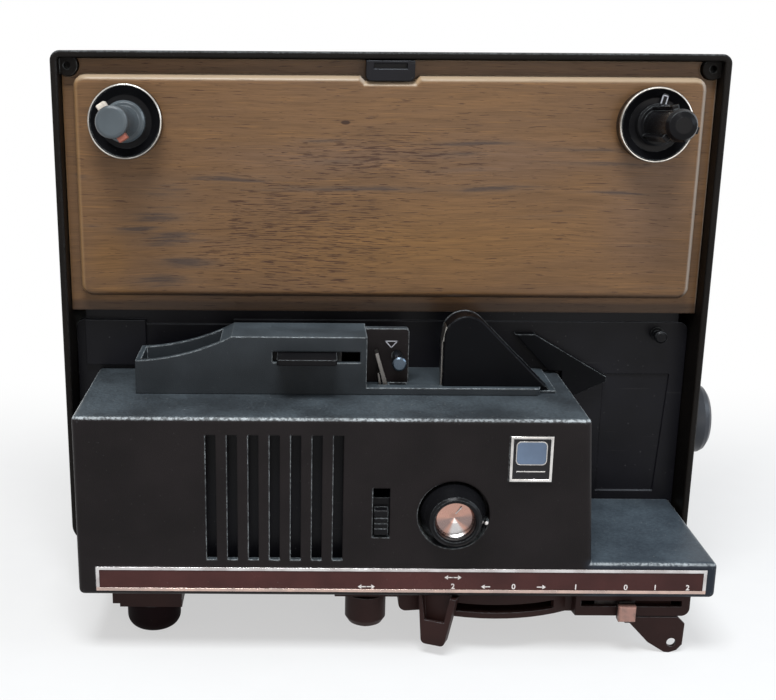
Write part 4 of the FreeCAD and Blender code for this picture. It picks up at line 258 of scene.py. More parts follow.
charcoal_case = plastic("charcoal_case", (0.0048, 0.0038, 0.0032), 1.1, 0.05, 0.40, shine=0.10, dust_and_sheen=0.03,
                        edge_wear_and_highlight_amount=0.45, soften=0.9, band=0.5)
charcoal_housing = plastic("charcoal_housing", (0.0088, 0.0068, 0.0072), 0.55, 0.02, 0.38, dust_and_sheen=0.185,
                           edge_wear_and_highlight_amount=0.8, soften=0.9, shelf_painted_light=(0.016, 0.020, 0.028), band=1.0)
# The deck is the same charcoal painted lighter and bluer: painted light from above on its front.
charcoal_deck = plastic("charcoal_deck", (0.024, 0.028, 0.032), 0.55, 0.02, 0.36, dust_and_sheen=0.12, edge_wear_and_highlight_amount=0.9, soften=0.9,
                        band=0.8)
black_moulded = plastic("black_moulded", (0.0048, 0.0046, 0.0052), 0.35, 0.008, 0.36, shine=0.08, edge_wear_and_highlight_amount=0.4, specks=0.2)
brown_moulded = plastic("brown_moulded", (0.022, 0.0095, 0.0084), 0.45, 0.010, 0.45, edge_wear_and_highlight_amount=0.3, specks=0.3)
dome_black = plastic("dome_black", (0.0018, 0.0020, 0.0028), 0.30, 0.006, 0.30, shine=0.06, edge_wear_and_highlight_amount=0.6, soften=0.7)
knob_black = plastic("knob_black", (0.0050, 0.0050, 0.0058), 0.5, 0.005, 0.20, shine=0.10, edge_wear_and_highlight_amount=0.40, specks=0.1)
knob_grey = plastic("knob_grey", (0.062, 0.076, 0.086), 0.5, 0.006, 0.24, shine=0.35, edge_wear_and_highlight_amount=0.5, specks=0.2,
                    edge_wear_and_highlight_colour=(0.34, 0.36, 0.37))
wheel_grey = plastic("wheel_grey", (0.026, 0.029, 0.035), 0.5, 0.006, 0.30, shine=0.25, edge_wear_and_highlight_amount=0.4)
taupe_plastic = plastic("taupe_plastic", (0.28, 0.155, 0.128), 0.5, 0.006, 0.34, shine=0.30, specks=0.1)
nylon = plastic("nylon", (0.70, 0.68, 0.61), 0.8, 0.004, 0.42, 0.4, edge_wear_and_highlight_colour=(0.8, 0.78, 0.7))
rubber = plastic("rubber", (0.0062, 0.0028, 0.0032), 0.5, 0.02, 0.70, 0.05, edge_wear_and_highlight_amount=0.2)
print("plastic finishes made")

# %% [markdown]
# Two mouldings carry two colours each. The keys on the left spindle are ivory above and faded red below, and
# the sliding tab under the strip is pale in front with dark plastic behind. The colour follows the place on the
# machine, with a short ramp between the two.

# %% Two-colour mouldings
KEY_SPLIT = (0.2110, 0.2125)
TAB_SPLIT = (-0.0722, -0.0718)


def two_colours(name, where, split, first, second, rough):
    finish = Finish(name, Specular_IOR_Level=0.3)
    soft = finish.rounded(0.3)
    grime = finish.noise(500.0, detail=4.0)
    tone = finish.blend(finish.between(getattr(finish, where), *split), first, second)
    tone = finish.blend(finish.between(grime, 0.45, 0.75, 0.0, 0.35), tone, (0.10, 0.08, 0.07))
    dull = finish.between(grime, 0.3, 0.7, rough - 0.06, rough + 0.08)
    return finish.wear(Base_Color=tone, Roughness=dull, Normal=finish.bump(grime, 0.01, 1.0, soft))


key_plastic = two_colours("key_plastic", "z", KEY_SPLIT, (0.27, 0.085, 0.058), (0.60, 0.54, 0.47), 0.38)
tab_plastic = two_colours("tab_plastic", "y", TAB_SPLIT, (0.30, 0.165, 0.135), (0.016, 0.012, 0.012), 0.36)
print("two-colour mouldings made")

# %% [markdown]
# ## Painted metal
# The plate behind the film path is steel with matt black paint. Sprayed paint has a faint orange peel, here a
# small noise as bump, and a few scratches, here a very stretched noise that is cut off high.

# %% Painted metal
def painted_metal(name, colour, rough, specks=0.6, shine=0.2, edge_wear_and_highlight_amount=0.5, soften=0.6):
    finish = Finish(name, Specular_IOR_Level=shine)
    soft = finish.rounded(soften)
    peel = finish.noise(1400.0, detail=2.0)
    cloudy = finish.noise(30.0, detail=5.0)
    tone = finish.blend(finish.between(cloudy, 0.3, 0.7), shade(colour, 0.7), shade(colour, 1.3))
    scratch = finish.between(finish.noise((40.0, 900.0, 900.0), detail=1.0), 0.72, 0.76)
    tone = finish.blend(finish.math("MULTIPLY", scratch, 0.04), tone, (0.2, 0.2, 0.2))
    speck = finish.between(finish.cells(420.0).outputs["Distance"], 0.15, 0.06)
    chance = finish.noise(700.0, detail=0.0, offset=(0.2, 0.5, 0.1))
    speck = finish.times(speck, finish.between(chance, 0.60, 0.64), specks)
    tone = finish.blend(speck, tone, (0.30, 0.30, 0.30))
    # Edges that face up are lightened: partly wear, partly a painted highlight.
    edge_wear_and_highlight_mask = finish.times(finish.edges(soft), finish.faces("Z", 0.05, 0.5, soft), finish.between(cloudy, 0.3, 0.6, 0.4, 1.0), edge_wear_and_highlight_amount)
    tone = finish.blend(edge_wear_and_highlight_mask, tone, (0.22, 0.24, 0.27))
    dull = finish.between(cloudy, 0.25, 0.75, rough - 0.06, rough + 0.06)
    return finish.wear(Base_Color=tone, Roughness=dull, Normal=finish.bump(peel, 0.01, 1.0, soft))


panel_paint = painted_metal("panel_paint", (0.0052, 0.0052, 0.0072), 0.34, 0.16, 0.14)
strip_ground = painted_metal("strip_ground", (0.050, 0.0150, 0.0135), 0.24, 0.1, 0.2)
badge_black = painted_metal("badge_black", (0.0050, 0.0048, 0.0060), 0.16, 0.1, 0.3)
badge_slate = painted_metal("badge_slate", (0.105, 0.145, 0.215), 0.20, 0.1, 0.3)
print("painted metal finishes made")

# %% [markdown]
# ## Printing ink
# The marks are pad printed in white. Ink like this is thin: the dark ground shows through in places.

# %% Ink
def ink(name, colour, ground):
    finish = Finish(name, Specular_IOR_Level=0.2)
    thin = finish.noise(2600.0, detail=3.0)
    tone = finish.blend(finish.between(thin, 0.30, 0.52, 0.55, 0.0), colour, ground)
    dull = finish.between(thin, 0.3, 0.7, 0.35, 0.5)
    return finish.wear(Base_Color=tone, Roughness=dull, Normal=finish.bump(thin, 0.01))


white_ink = ink("white_ink", (0.74, 0.70, 0.68), (0.20, 0.12, 0.11))
grey_ink_and_highlight = ink("grey_ink_and_highlight", (0.42, 0.42, 0.46), (0.05, 0.05, 0.06))
print("inks made")

# %% [markdown]
# ## Bright metal
# Chrome, turned steel and spun aluminium share one recipe: a metal shader with finger smudges in its roughness
# and fine hairlines in its bump. For a turned part the hairlines follow the cut, so they are stretched along it.

# %% Bright metal
def bright_metal(name, colour, rough, hairlines=(60.0, 2500.0, 2500.0), depth=0.002, tarnish=0.8):
    finish = Finish(name, Metallic=1.0)
    soft = finish.rounded(0.3)
    lines = finish.noise(hairlines, detail=2.0)
    smudge = finish.noise(160.0, detail=4.0)
    tone = finish.blend(finish.between(smudge, 0.35, 0.75), colour, shade(colour, tarnish))
    dull = finish.between(smudge, 0.3, 0.7, rough, rough + 0.12)
    return finish.wear(Base_Color=tone, Roughness=dull, Normal=finish.bump(lines, depth, 1.0, soft))


chrome = bright_metal("chrome", (0.72, 0.70, 0.68), 0.14, depth=0.001, tarnish=0.6)
ring_chrome = bright_metal("ring_chrome", (0.66, 0.64, 0.60), 0.20, (300.0, 300.0, 300.0), 0.002, 0.42)
turned_steel = bright_metal("turned_steel", (0.42, 0.45, 0.50), 0.26, (2500.0, 60.0, 2500.0))
blued_steel = bright_metal("blued_steel", (0.085, 0.110, 0.140), 0.24, (2500.0, 60.0, 2500.0))
pressed_steel = bright_metal("pressed_steel", (0.22, 0.21, 0.20), 0.32, (900.0, 900.0, 60.0), tarnish=0.5)
copper_wire = bright_metal("copper_wire", (0.72, 0.36, 0.20), 0.35, (60.0, 2500.0, 400.0), 0.02)
print("bright metal finishes made")

# %% [markdown]
# The strip's frame is silver along its upper line and coppery along its lower line, both in the metal's own
# colour, set by height. The copper of the lower line is a painted reflection of a warm surface below.

# %% Strip frame
def strip_metal():
    finish = Finish("strip_metal", Metallic=1.0)
    soft = finish.rounded(0.25)
    smudge = finish.noise(120.0, detail=4.0)
    # Painted reflection: the lower line is coppery, the upper one silver.
    tone = finish.blend(finish.between(finish.z, 0.0306, 0.0316), (0.66, 0.48, 0.41), (0.70, 0.68, 0.68))
    tone = finish.blend(finish.between(smudge, 0.35, 0.7, 0.0, 0.55), tone, (0.30, 0.25, 0.24))
    dull = finish.between(smudge, 0.3, 0.7, 0.16, 0.30)
    return finish.wear(Base_Color=tone, Roughness=dull, Normal=finish.bump(smudge, 0.01, 1.0, soft))


strip_chrome = strip_metal()

# %% [markdown]
# The cap of the focus knob is spun: the tool leaves circles, and circles make a light fan out in wedges. The
# shader's anisotropy does that once its tangent runs round the cap's own axis. On top of that the cap's colour
# holds painted light: a bright silver fan at the bottom as a painted highlight, painted shade in the darker
# sectors beside it, and a warm copper tone elsewhere that is a painted reflection of a warm wall.

# %% Spun cap
def spun_metal(name):
    finish = Finish(name, Metallic=1.0, Anisotropic=0.7)
    low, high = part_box("focus_disc")
    middle = (low + high) / 2
    out = finish.make("ShaderNodeVectorMath", {0: finish.place, 1: middle}, operation="SUBTRACT").outputs[0]
    flat = finish.make("ShaderNodeVectorMath", {0: out, 1: (1, 0, 1)}, operation="MULTIPLY").outputs[0]
    radius = finish.make("ShaderNodeVectorMath", {0: flat}, operation="LENGTH").outputs["Value"]
    rings = finish.math("SINE", finish.math("MULTIPLY", radius, 42000.0))
    parts = finish.make("ShaderNodeSeparateXYZ", {0: flat}).outputs
    bearing = finish.math("ARCTAN2", parts["X"], finish.math("MULTIPLY", parts["Z"], -1.0))
    # Painted light in the colour: the bright fan at the bottom is a painted highlight, the darker sectors painted
    # shade, the warm rest a painted reflection.
    wide = finish.math("ABSOLUTE", finish.math("SUBTRACT", bearing, 0.15))
    painted_fan_highlight = finish.between(wide, 0.62, 0.28)
    dark = finish.times(finish.between(wide, 0.60, 0.95), finish.between(wide, 1.9, 1.4))
    tone = finish.blend(painted_fan_highlight, (0.50, 0.29, 0.235), (0.62, 0.60, 0.60))
    tone = finish.blend(finish.math("MULTIPLY", dark, 0.75), tone, (0.20, 0.17, 0.17))
    dull = finish.between(finish.noise(300.0, detail=3.0), 0.3, 0.7, 0.20, 0.32)
    round_the_cap = finish.make("ShaderNodeTangent", direction_type="RADIAL", axis="Y").outputs[0]
    return finish.wear(Base_Color=tone, Roughness=dull, Tangent=round_the_cap, Normal=finish.bump(rings, 0.0015))


spun_aluminium = spun_metal("spun_aluminium")

# %% Glass
def lens_coating():
    finish = Finish("lens_coating", Transmission_Weight=1.0, IOR=1.52, Coat_Weight=0.3, Coat_Roughness=0.02)
    smear = finish.noise(220.0, detail=4.0)
    tint = finish.blend(finish.between(smear, 0.3, 0.7), (0.86, 0.90, 0.97), (0.93, 0.88, 0.95))
    return finish.wear(Base_Color=tint, Roughness=finish.between(smear, 0.3, 0.8, 0.01, 0.06))


coated_glass = lens_coating()

# %% [markdown]
# ## The wood panel
# The panel is a pressed sheet with a walnut print, grain running across. A print like this is easiest to build
# in layers, as the printer did: a slow change of tone with golden and pinkish patches, the fibres, the dark
# figure, and the short dark pores on top. The fibres are noise stretched along the grain. The figure is a
# handful of long soft ovals, broken up by the same kind of noise; most are set where the real panel has one,
# but the tall ones under the left spindle are partly a painted shadow of it, and the tall pinkish patch under
# the right spindle is partly a painted shadow too. Last comes painted light: painted highlights along the top
# and side edges of the raised field, and painted shade on the border below it and on faces that look down.

# %% Wood values
GRAIN_WARP = 0.0035
# A dark streak each: middle in x and z, half its length, half its height in millimetres, and how dark it is.
# The tall ovals near x -98, z 172 to 182, just under the left spindle, are partly dark figure and partly a painted
# shadow of the spindle.
DARK_FIGURE_AND_SHADOW = [
    (-20.0, 183.2, 78.0, 2.3, 1.0), (38.0, 183.0, 34.0, 3.4, 1.0), (88.0, 181.0, 32.0, 1.8, 0.8),
    (-70.0, 187.0, 34.0, 3.6, 0.8), (-33.0, 202.4, 18.0, 1.7, 0.9), (30.0, 201.0, 40.0, 2.2, 0.9),
    (72.0, 199.0, 36.0, 1.9, 0.8), (20.0, 196.5, 36.0, 2.2, 0.75), (80.0, 193.5, 44.0, 1.8, 0.75),
    (24.0, 190.5, 28.0, 1.6, 0.7), (-26.0, 194.0, 24.0, 1.9, 0.7), (-98.0, 182.0, 22.0, 10.0, 0.72),
    (-98.0, 172.0, 26.0, 7.0, 0.92), (-96.0, 162.0, 24.0, 6.5, 1.0), (-108.0, 166.5, 20.0, 4.0, 0.9),
    (-88.0, 152.0, 26.0, 6.0, 1.0), (-98.0, 144.0, 24.0, 5.5, 0.92), (-78.0, 137.5, 26.0, 4.0, 0.8),
    (-128.0, 168.0, 12.0, 1.6, 0.7), (-131.0, 187.0, 8.0, 2.0, 0.7), (102.0, 160.0, 22.0, 1.8, 0.55),
    (60.0, 171.0, 30.0, 1.4, 0.5), (110.0, 143.0, 18.0, 1.6, 0.5),
]
KNOT = (-23.4, 209.8, 2.4, 1.1)
# A patch of another tint each: middle, half its length, half its height in millimetres.
GOLD = [(10.0, 159.0, 92.0, 24.0), (-121.0, 154.0, 13.0, 15.0), (-120.0, 138.0, 18.0, 8.0)]
# The tall patch at x 102 under the right spindle is partly pink tint and partly a painted shadow of the spindle.
PINK = [(-29.0, 195.0, 62.0, 11.0), (41.0, 195.0, 62.0, 13.0), (102.0, 178.0, 28.0, 42.0)]
CROWDED = [(-42.0, 163.0, 66.0, 40.0), (-10.0, 196.0, 60.0, 16.0)]
WALNUT = (0.168, 0.088, 0.038)
WALNUT_SOFT = (0.140, 0.076, 0.038)
WALNUT_GOLD = (0.205, 0.104, 0.035)
WALNUT_PINK = (0.146, 0.085, 0.053)
WALNUT_DARK = (0.046, 0.032, 0.027)
PORE = (0.040, 0.016, 0.009)
print("wood has", len(DARK_FIGURE_AND_SHADOW), "streaks and one knot")

# %% [markdown]
# A pore is a dash about a centimetre long and a third of a millimetre high. Noise that is stretched along the
# grain and cut off high leaves such dashes. Where the cut is a little lower they crowd, as in the middle here.

# %% Ovals and pores
def oval(finish, vector, x, z, half_length, half_height, soft):
    """1 in the middle of an oval on the panel, falling to 0 at its edge."""
    spot = finish.make("ShaderNodeVectorMath", {0: vector, 1: (x * MM, 0, z * MM)}, operation="SUBTRACT").outputs[0]
    unit = (1 / (half_length * MM), 0, 1 / (half_height * MM))
    spot = finish.make("ShaderNodeVectorMath", {0: spot, 1: unit}, operation="MULTIPLY").outputs[0]
    out = finish.make("ShaderNodeVectorMath", {0: spot}, operation="LENGTH").outputs["Value"]
    return finish.between(out, 1.0, soft)


def ovals(finish, vector, patches, soft):
    found = [finish.times(oval(finish, vector, *patch[:4], soft), *patch[4:]) for patch in patches]
    result = found[0]
    for one in found[1:]:
        result = finish.math("MAXIMUM", result, one)
    return result


def pores(finish, vector, scale, offset, crowd):
    """Short dashes: a stretched noise, cut off lower where the pores crowd."""
    dashes = finish.noise(scale, detail=2.0, vector=vector, offset=offset)
    level = finish.math("ADD", dashes, finish.math("MULTIPLY", crowd, 0.085))
    return finish.between(level, 0.655, 0.70)


# %% Wood
def walnut_print():
    finish = Finish("walnut_print", Specular_IOR_Level=0.16, Coat_Weight=0.14, Coat_Roughness=0.16)
    sway = finish.noise((11.0, 1.0, 26.0), detail=2.0)
    lift = finish.math("MULTIPLY", finish.math("SUBTRACT", sway, 0.5), GRAIN_WARP * 2)
    shift = finish.make("ShaderNodeCombineXYZ", {"Z": lift}).outputs[0]
    bent = finish.make("ShaderNodeVectorMath", {0: finish.place, 1: shift}, operation="ADD").outputs[0]
    slow = finish.noise((8.0, 1.0, 80.0), detail=4.0, rough=0.6, vector=bent)
    colour = finish.blend(finish.between(slow, 0.32, 0.66), WALNUT, WALNUT_SOFT)
    colour = finish.blend(finish.math("MULTIPLY", ovals(finish, bent, GOLD, 0.15), 0.8), colour, WALNUT_GOLD)
    colour = finish.blend(finish.math("MULTIPLY", ovals(finish, bent, PINK, 0.15), 0.75), colour, WALNUT_PINK)
    band = finish.noise((22.0, 1.0, 420.0), detail=5.0, rough=0.65, vector=bent)
    colour = finish.blend(finish.between(band, 0.30, 0.70, 0.0, 0.5), colour, shade(WALNUT, 0.55))
    fibre = finish.noise((60.0, 1.0, 2300.0), detail=4.0, rough=0.7, vector=bent)
    colour = finish.blend(finish.between(fibre, 0.42, 0.72, 0.0, 0.62), colour, shade(WALNUT, 0.42))
    light_fibre = finish.noise((50.0, 1.0, 1700.0), detail=3.0, vector=bent, offset=(0.7, 0, 0.3))
    colour = finish.blend(finish.between(light_fibre, 0.55, 0.75, 0.0, 0.4), colour, shade(WALNUT_GOLD, 1.25))
    field = ovals(finish, bent, DARK_FIGURE_AND_SHADOW, 0.0)
    ragged = finish.noise((26.0, 1.0, 560.0), detail=5.0, rough=0.75, vector=bent)
    ragged = finish.math("MULTIPLY", finish.math("SUBTRACT", ragged, 0.5), 2.8)
    colour = finish.blend(finish.math("MULTIPLY", field, 0.34), colour, (0.092, 0.066, 0.050))
    dark = finish.between(finish.math("ADD", finish.math("MULTIPLY", field, 0.72), ragged), 0.34, 0.86)
    dark = finish.times(dark, finish.between(field, 0.02, 0.3), 0.80)
    colour = finish.blend(dark, colour, WALNUT_DARK)
    crowd = ovals(finish, finish.place, CROWDED, 0.2)
    long_pores = pores(finish, bent, (75.0, 1.0, 1500.0), (0.4, 0, 0.2), crowd)
    short_pores = pores(finish, bent, (140.0, 1.0, 2400.0), (2.1, 0, 1.3), crowd)
    pore = finish.math("MAXIMUM", long_pores, short_pores)
    colour = finish.blend(finish.math("MULTIPLY", pore, 0.82), colour, PORE)
    knot = oval(finish, bent, *KNOT, 0.55)
    colour = finish.blend(finish.math("MULTIPLY", knot, 0.9), colour, shade(PORE, 0.6))
    # Painted light on the raised field: painted highlights on its top, right and left edges, and painted shade on the
    # border under it and on faces that look down.
    soft = finish.rounded(1.1)
    top_edge_highlight = finish.times(finish.faces("Z", 0.22, 0.6, soft), 0.62)
    colour = finish.blend(top_edge_highlight, colour, (0.46, 0.36, 0.25))
    right_edge_highlight = finish.times(finish.faces("X", 0.25, 0.6, soft), 0.60)
    colour = finish.blend(right_edge_highlight, colour, (0.44, 0.39, 0.34))
    left_edge_highlight = finish.times(finish.faces("X", -0.25, -0.6, soft), 0.45)
    colour = finish.blend(left_edge_highlight, colour, (0.38, 0.23, 0.11))
    border_shade = finish.between(finish.z, 0.1352, 0.1330)
    colour = finish.blend(finish.math("MULTIPLY", border_shade, 0.62), colour, shade(WALNUT_DARK, 0.5))
    underside_shade = finish.math("SUBTRACT", 1.0, finish.faces("Z", -0.65, -0.2, soft))
    colour = finish.blend(finish.math("MULTIPLY", underside_shade, 0.7), colour, shade(WALNUT_DARK, 0.6))
    relief = finish.math("SUBTRACT", finish.math("MULTIPLY", fibre, 0.35), pore)
    dull = finish.between(fibre, 0.3, 0.7, 0.34, 0.46)
    return finish.wear(Base_Color=colour, Roughness=dull, Normal=finish.bump(relief, 0.07, 0.8, soft))


walnut = walnut_print()
print("wood made")

# %% [markdown]
# ## Dressing the solid pieces
# A piece whose solid is already right keeps it and gets its finish here. The record names a material slot for
# each piece, so the finish follows the slot, and a second list says where one piece differs from its slot.

# %% Finishes by slot and by piece
SLOT_FINISH = {
    "case_plastic": charcoal_case,
    "housing_plastic": charcoal_housing,
    "wood_veneer": walnut,
    "panel_black": panel_paint,
    "black_plastic": black_moulded,
    "grey_plastic": knob_grey,
    "ivory_plastic": key_plastic,
    "bright_steel": turned_steel,
    "chrome_trim": chrome,
    "aluminium_disc": spun_aluminium,
    "strip_black": strip_ground,
    "rubber_black": rubber,
    "lens_glass": coated_glass,
    "nylon_white": nylon,
}
PIECE_FINISH = {
    "film_deck": charcoal_deck,
    "dome_guide": dome_black,
    "wedge_guide": dome_black,
    "control_pod": brown_moulded,
    "direction_lever": brown_moulded,
    "base_plate": brown_moulded,
    "strip_frame": strip_chrome,
    "badge": badge_black,
    "focus_knob": knob_black,
    "speed_slide": knob_black,
    "lid_stud": knob_black,
    "right_spindle_shaft": knob_black,
    "left_spindle_drum": knob_black,
    "right_spindle_drum": knob_black,
    "left_spindle_shaft": knob_grey,
    "left_spindle_keys": key_plastic,
    "inching_knob": wheel_grey,
    "frame_knob": brown_moulded,
    "power_slide": tab_plastic,
    "load_pin": blued_steel,
    "film_guides": pressed_steel,
    "motor_stator": pressed_steel,
    "elevating_leg": brown_moulded,
}
for part in frame["record"]["subparts"]:
    finish = PIECE_FINISH.get(part["node"], SLOT_FINISH[part["material_slot"]])
    for material_slot in nodes[part["node"]].material_slots:
        material_slot.material = finish
print("dressed", len(nodes), "solid pieces")

# %% [markdown]
# ## Making a new piece
# Pieces that are only finish are modelled with bmesh. Each one ends in make_piece, which turns the bmesh into an
# object at the origin, shades it smooth with its sharp edges kept, gives it its finish and lets it ride on the
# body that carries it.

# %% Helpers for new pieces
def make_piece(name, bm, body, material, sharp=35.0):
    bmesh.ops.recalc_face_normals(bm, faces=bm.faces)
    mesh = bpy.data.meshes.new(name)
    bm.to_mesh(mesh)
    bm.free()
    mesh.shade_smooth()
    mesh.set_sharp_from_angle(angle=math.radians(sharp))
    mesh.materials.append(material)
    obj = bpy.data.objects.new(name, mesh)
    bpy.context.scene.collection.objects.link(obj)
    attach(obj, body)
    print(name, "has", len(mesh.polygons), "faces")
    return obj


def lathe(profile, start, axis, steps=96):
    """Turns a closed profile of (distance along the axis, radius) pairs in millimetres."""
    bm = bmesh.new()
    axis = Vector(axis).normalized()
    side = axis.orthogonal().normalized()
    ring = [bm.verts.new(start + (axis * along + side * radius) * MM) for along, radius in profile]
    for a, b in zip(ring, ring[1:] + ring[:1]):
        bm.edges.new((a, b))
    bmesh.ops.spin(bm, geom=bm.verts[:] + bm.edges[:], cent=start, axis=axis, angle=math.tau, steps=steps,
                   use_merge=True)
    bmesh.ops.remove_doubles(bm, verts=bm.verts, dist=1e-7)
    return bm


def plate(bm, outline, y_front, y_back, bevel=0.0):
    """A flat plate from an outline of (x, z) pairs in millimetres, with its front edges bevelled."""
    corners = [bm.verts.new((x * MM, y_front * MM, z * MM)) for x, z in outline]
    front = bm.faces.new(corners)
    extruded = bmesh.ops.extrude_face_region(bm, geom=[front], use_keep_orig=True)["geom"]
    moved = [v for v in extruded if isinstance(v, bmesh.types.BMVert)]
    bmesh.ops.translate(bm, verts=moved, vec=(0, (y_back - y_front) * MM, 0))
    if bevel:
        edges = list(front.edges)
        bmesh.ops.bevel(bm, geom=edges, offset=bevel * MM, segments=2, profile=0.5, affect="EDGES", material=-1)


def rounded_outline(x0, x1, z0, z1, radius, steps=6):
    """A rectangle with quarter rounds at its corners."""
    points = []
    for cx, cz, first in ((x1 - radius, z1 - radius, 0), (x0 + radius, z1 - radius, 90),
                          (x0 + radius, z0 + radius, 180), (x1 - radius, z0 + radius, 270)):
        for step in range(steps + 1):
            angle = math.radians(first + 90 * step / steps)
            points.append((cx + radius * math.cos(angle), cz + radius * math.sin(angle)))
    return points


def line_outline(x0, z0, x1, z1, width):
    """A straight line with a width."""
    run = Vector((x1 - x0, z1 - z0)).normalized() * width / 2
    side = Vector((-run.y, run.x))
    a, b = Vector((x0, z0)) - run, Vector((x1, z1)) + run
    return [tuple(a - side), tuple(b - side), tuple(b + side), tuple(a + side)]


# %% [markdown]
# ## The reel spindles' bright rings
# Each flange has a polished ring round its rim. It is turned on a lathe, so it is made by spinning a small
# profile round the spindle's own axis, which the joint gives. The corners of the profile are cut, because a
# turned edge is never sharp.

# %% Flange rings
RING_RADIUS = 14.75
RING_WIDTH = 0.85
RING_BACK = 1.6
RING_CUT = 0.25


def corners_of(node):
    return [vertex.co for vertex in nodes[node].data.vertices]


def spindle_axis(side):
    joint = joints[side + "_spindle_turn"]
    axis = Vector(joint["axis"]).normalized()
    return Vector(joint["pos_m"]), (-axis if axis.y > 0 else axis)


def flange_ring(side):
    start, axis = spindle_axis(side)
    rim = max((Vector(c) - start).dot(axis) for c in corners_of(side + "_spindle_drum")) / MM
    back = rim - RING_BACK
    inner = RING_RADIUS - RING_WIDTH
    profile = [(back, inner), (back, RING_RADIUS), (rim - RING_CUT, RING_RADIUS), (rim + 0.05, RING_RADIUS - RING_CUT),
               (rim + 0.05, inner + RING_CUT), (rim - RING_CUT, inner)]
    make_piece(side + "_flange_ring", lathe(profile, start, axis), side + "_spindle", ring_chrome)


for side in ("left", "right"):
    flange_ring(side)

# %% [markdown]
# ## The marks on the strip
# The strip tells which control does what. Here it carries only plain numbers and arrows. A number is a text
# curve, made a mesh while it still lies flat at the origin, then turned up to face the front and moved to its
# place. An arrow is a thin plate. All of them together are one printed piece.

# %% Marks on the strip
MARK_FRONT = -76.58
MARK_BACK = -76.45
MARK_HEIGHT = 2.3
NUMBERS = [("2", 20.5), ("0", 44.75), ("1", 69.6), ("0", 89.6), ("1", 101.4), ("2", 114.4)]
NUMBER_Z = 32.15
ARROWS = [(33.7, 32.15, -1), (55.8, 32.15, 1), (-15.6, 31.9, -1), (-12.6, 31.9, 1), (18.9, 36.1, -1), (21.9, 36.1, 1)]


def number_mesh(text, x, z, height):
    curve = bpy.data.curves.new("number", "FONT")
    curve.body = text
    curve.align_x = "CENTER"
    curve.align_y = "CENTER"
    curve.size = height * MM * 1.38
    curve.extrude = (MARK_BACK - MARK_FRONT) * MM / 2
    curve.offset = 0.00005
    curve.resolution_u = 4
    flat = bpy.data.objects.new("number", curve)
    bpy.context.scene.collection.objects.link(flat)
    mesh = bpy.data.meshes.new_from_object(flat.evaluated_get(bpy.context.evaluated_depsgraph_get()))
    bpy.data.objects.remove(flat)
    upright = Matrix.Rotation(math.radians(90), 4, "X")
    mesh.transform(Matrix.Translation((x * MM, (MARK_FRONT + MARK_BACK) / 2 * MM, z * MM)) @ upright)
    return mesh


marks = bmesh.new()
for text, x in NUMBERS:
    marks.from_mesh(number_mesh(text, x, NUMBER_Z, MARK_HEIGHT))
for x, z, way in ARROWS:
    plate(marks, line_outline(x - way * 1.5, z, x + way * 0.6, z, 0.42), MARK_FRONT, MARK_BACK)
    head = [(x + way * 0.5, z - 0.95), (x + way * 1.9, z), (x + way * 0.5, z + 0.95)]
    plate(marks, head if way > 0 else head[::-1], MARK_FRONT, MARK_BACK)
make_piece("strip_marks", marks, "case", white_ink)

# %% [markdown]
# ## The badge
# A small plate with a raised bright frame. Its field is left plain: a slate-blue panel with a fine line round
# it. The frame is one rectangle, inset to a ring, pulled forward, with its long edges bevelled.

# %% Badge
BADGE_LOW, BADGE_HIGH = (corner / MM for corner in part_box("badge"))
FRAME_LINE = 1.7
FRAME_EDGE = 0.35


def badge_frame():
    bm = bmesh.new()
    x0, x1, z0, z1 = BADGE_LOW.x, BADGE_HIGH.x, BADGE_LOW.z, BADGE_HIGH.z
    front = bm.faces.new([bm.verts.new((x * MM, BADGE_LOW.y * MM, z * MM))
                          for x, z in ((x0, z0), (x1, z0), (x1, z1), (x0, z1))])
    bm.normal_update()
    bmesh.ops.inset_region(bm, faces=[front], thickness=FRAME_LINE * MM, use_boundary=True)
    bmesh.ops.delete(bm, geom=[front], context="FACES")
    ring = bm.faces[:]
    made = bmesh.ops.extrude_face_region(bm, geom=ring, use_keep_orig=True)["geom"]
    back = [v for v in made if isinstance(v, bmesh.types.BMVert)]
    bmesh.ops.translate(bm, verts=back, vec=(0, (BADGE_HIGH.y - BADGE_LOW.y) * MM, 0))
    rims = [e for e in bm.edges if all(abs(v.co.y - BADGE_LOW.y * MM) < 1e-6 for v in e.verts) and len(e.link_faces) == 2
            and abs(e.calc_face_angle(0.0)) > 1.0]
    bmesh.ops.bevel(bm, geom=rims, offset=FRAME_EDGE * MM, segments=3, profile=0.5, affect="EDGES", material=-1)
    return bm


badge_rim = make_piece("badge_frame", badge_frame(), "case", chrome)
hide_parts("badge")

field = bmesh.new()
plate(field, [(BADGE_LOW.x + 0.5, BADGE_LOW.z + 0.5), (BADGE_HIGH.x - 0.5, BADGE_LOW.z + 0.5),
              (BADGE_HIGH.x - 0.5, BADGE_HIGH.z - 0.5), (BADGE_LOW.x + 0.5, BADGE_HIGH.z - 0.5)], -76.75, BADGE_HIGH.y)
make_piece("badge_field", field, "case", badge_black)

PANEL = (43.1, 54.5, 84.2, 93.2)
lines = bmesh.new()
plate(lines, rounded_outline(PANEL[0] - 0.35, PANEL[1] + 0.35, PANEL[2] - 0.35, PANEL[3] + 0.35, 1.9), -76.80, -76.7)
plate(lines, line_outline(43.4, 81.2, 54.2, 81.2, 0.45), -76.80, -76.7)
make_piece("badge_lines", lines, "case", chrome)
slate = bmesh.new()
plate(slate, rounded_outline(*PANEL, 1.6), -76.88, -76.7)
make_piece("badge_panel", slate, "case", badge_slate)

# %% [markdown]
# ## Small marks on the machine
# A triangle over the loader points at the slot the film goes into. The focus cap has a fine white line on it,
# with a light dot beside the knob, and the rib on the right flange has a painted highlight along its edges.

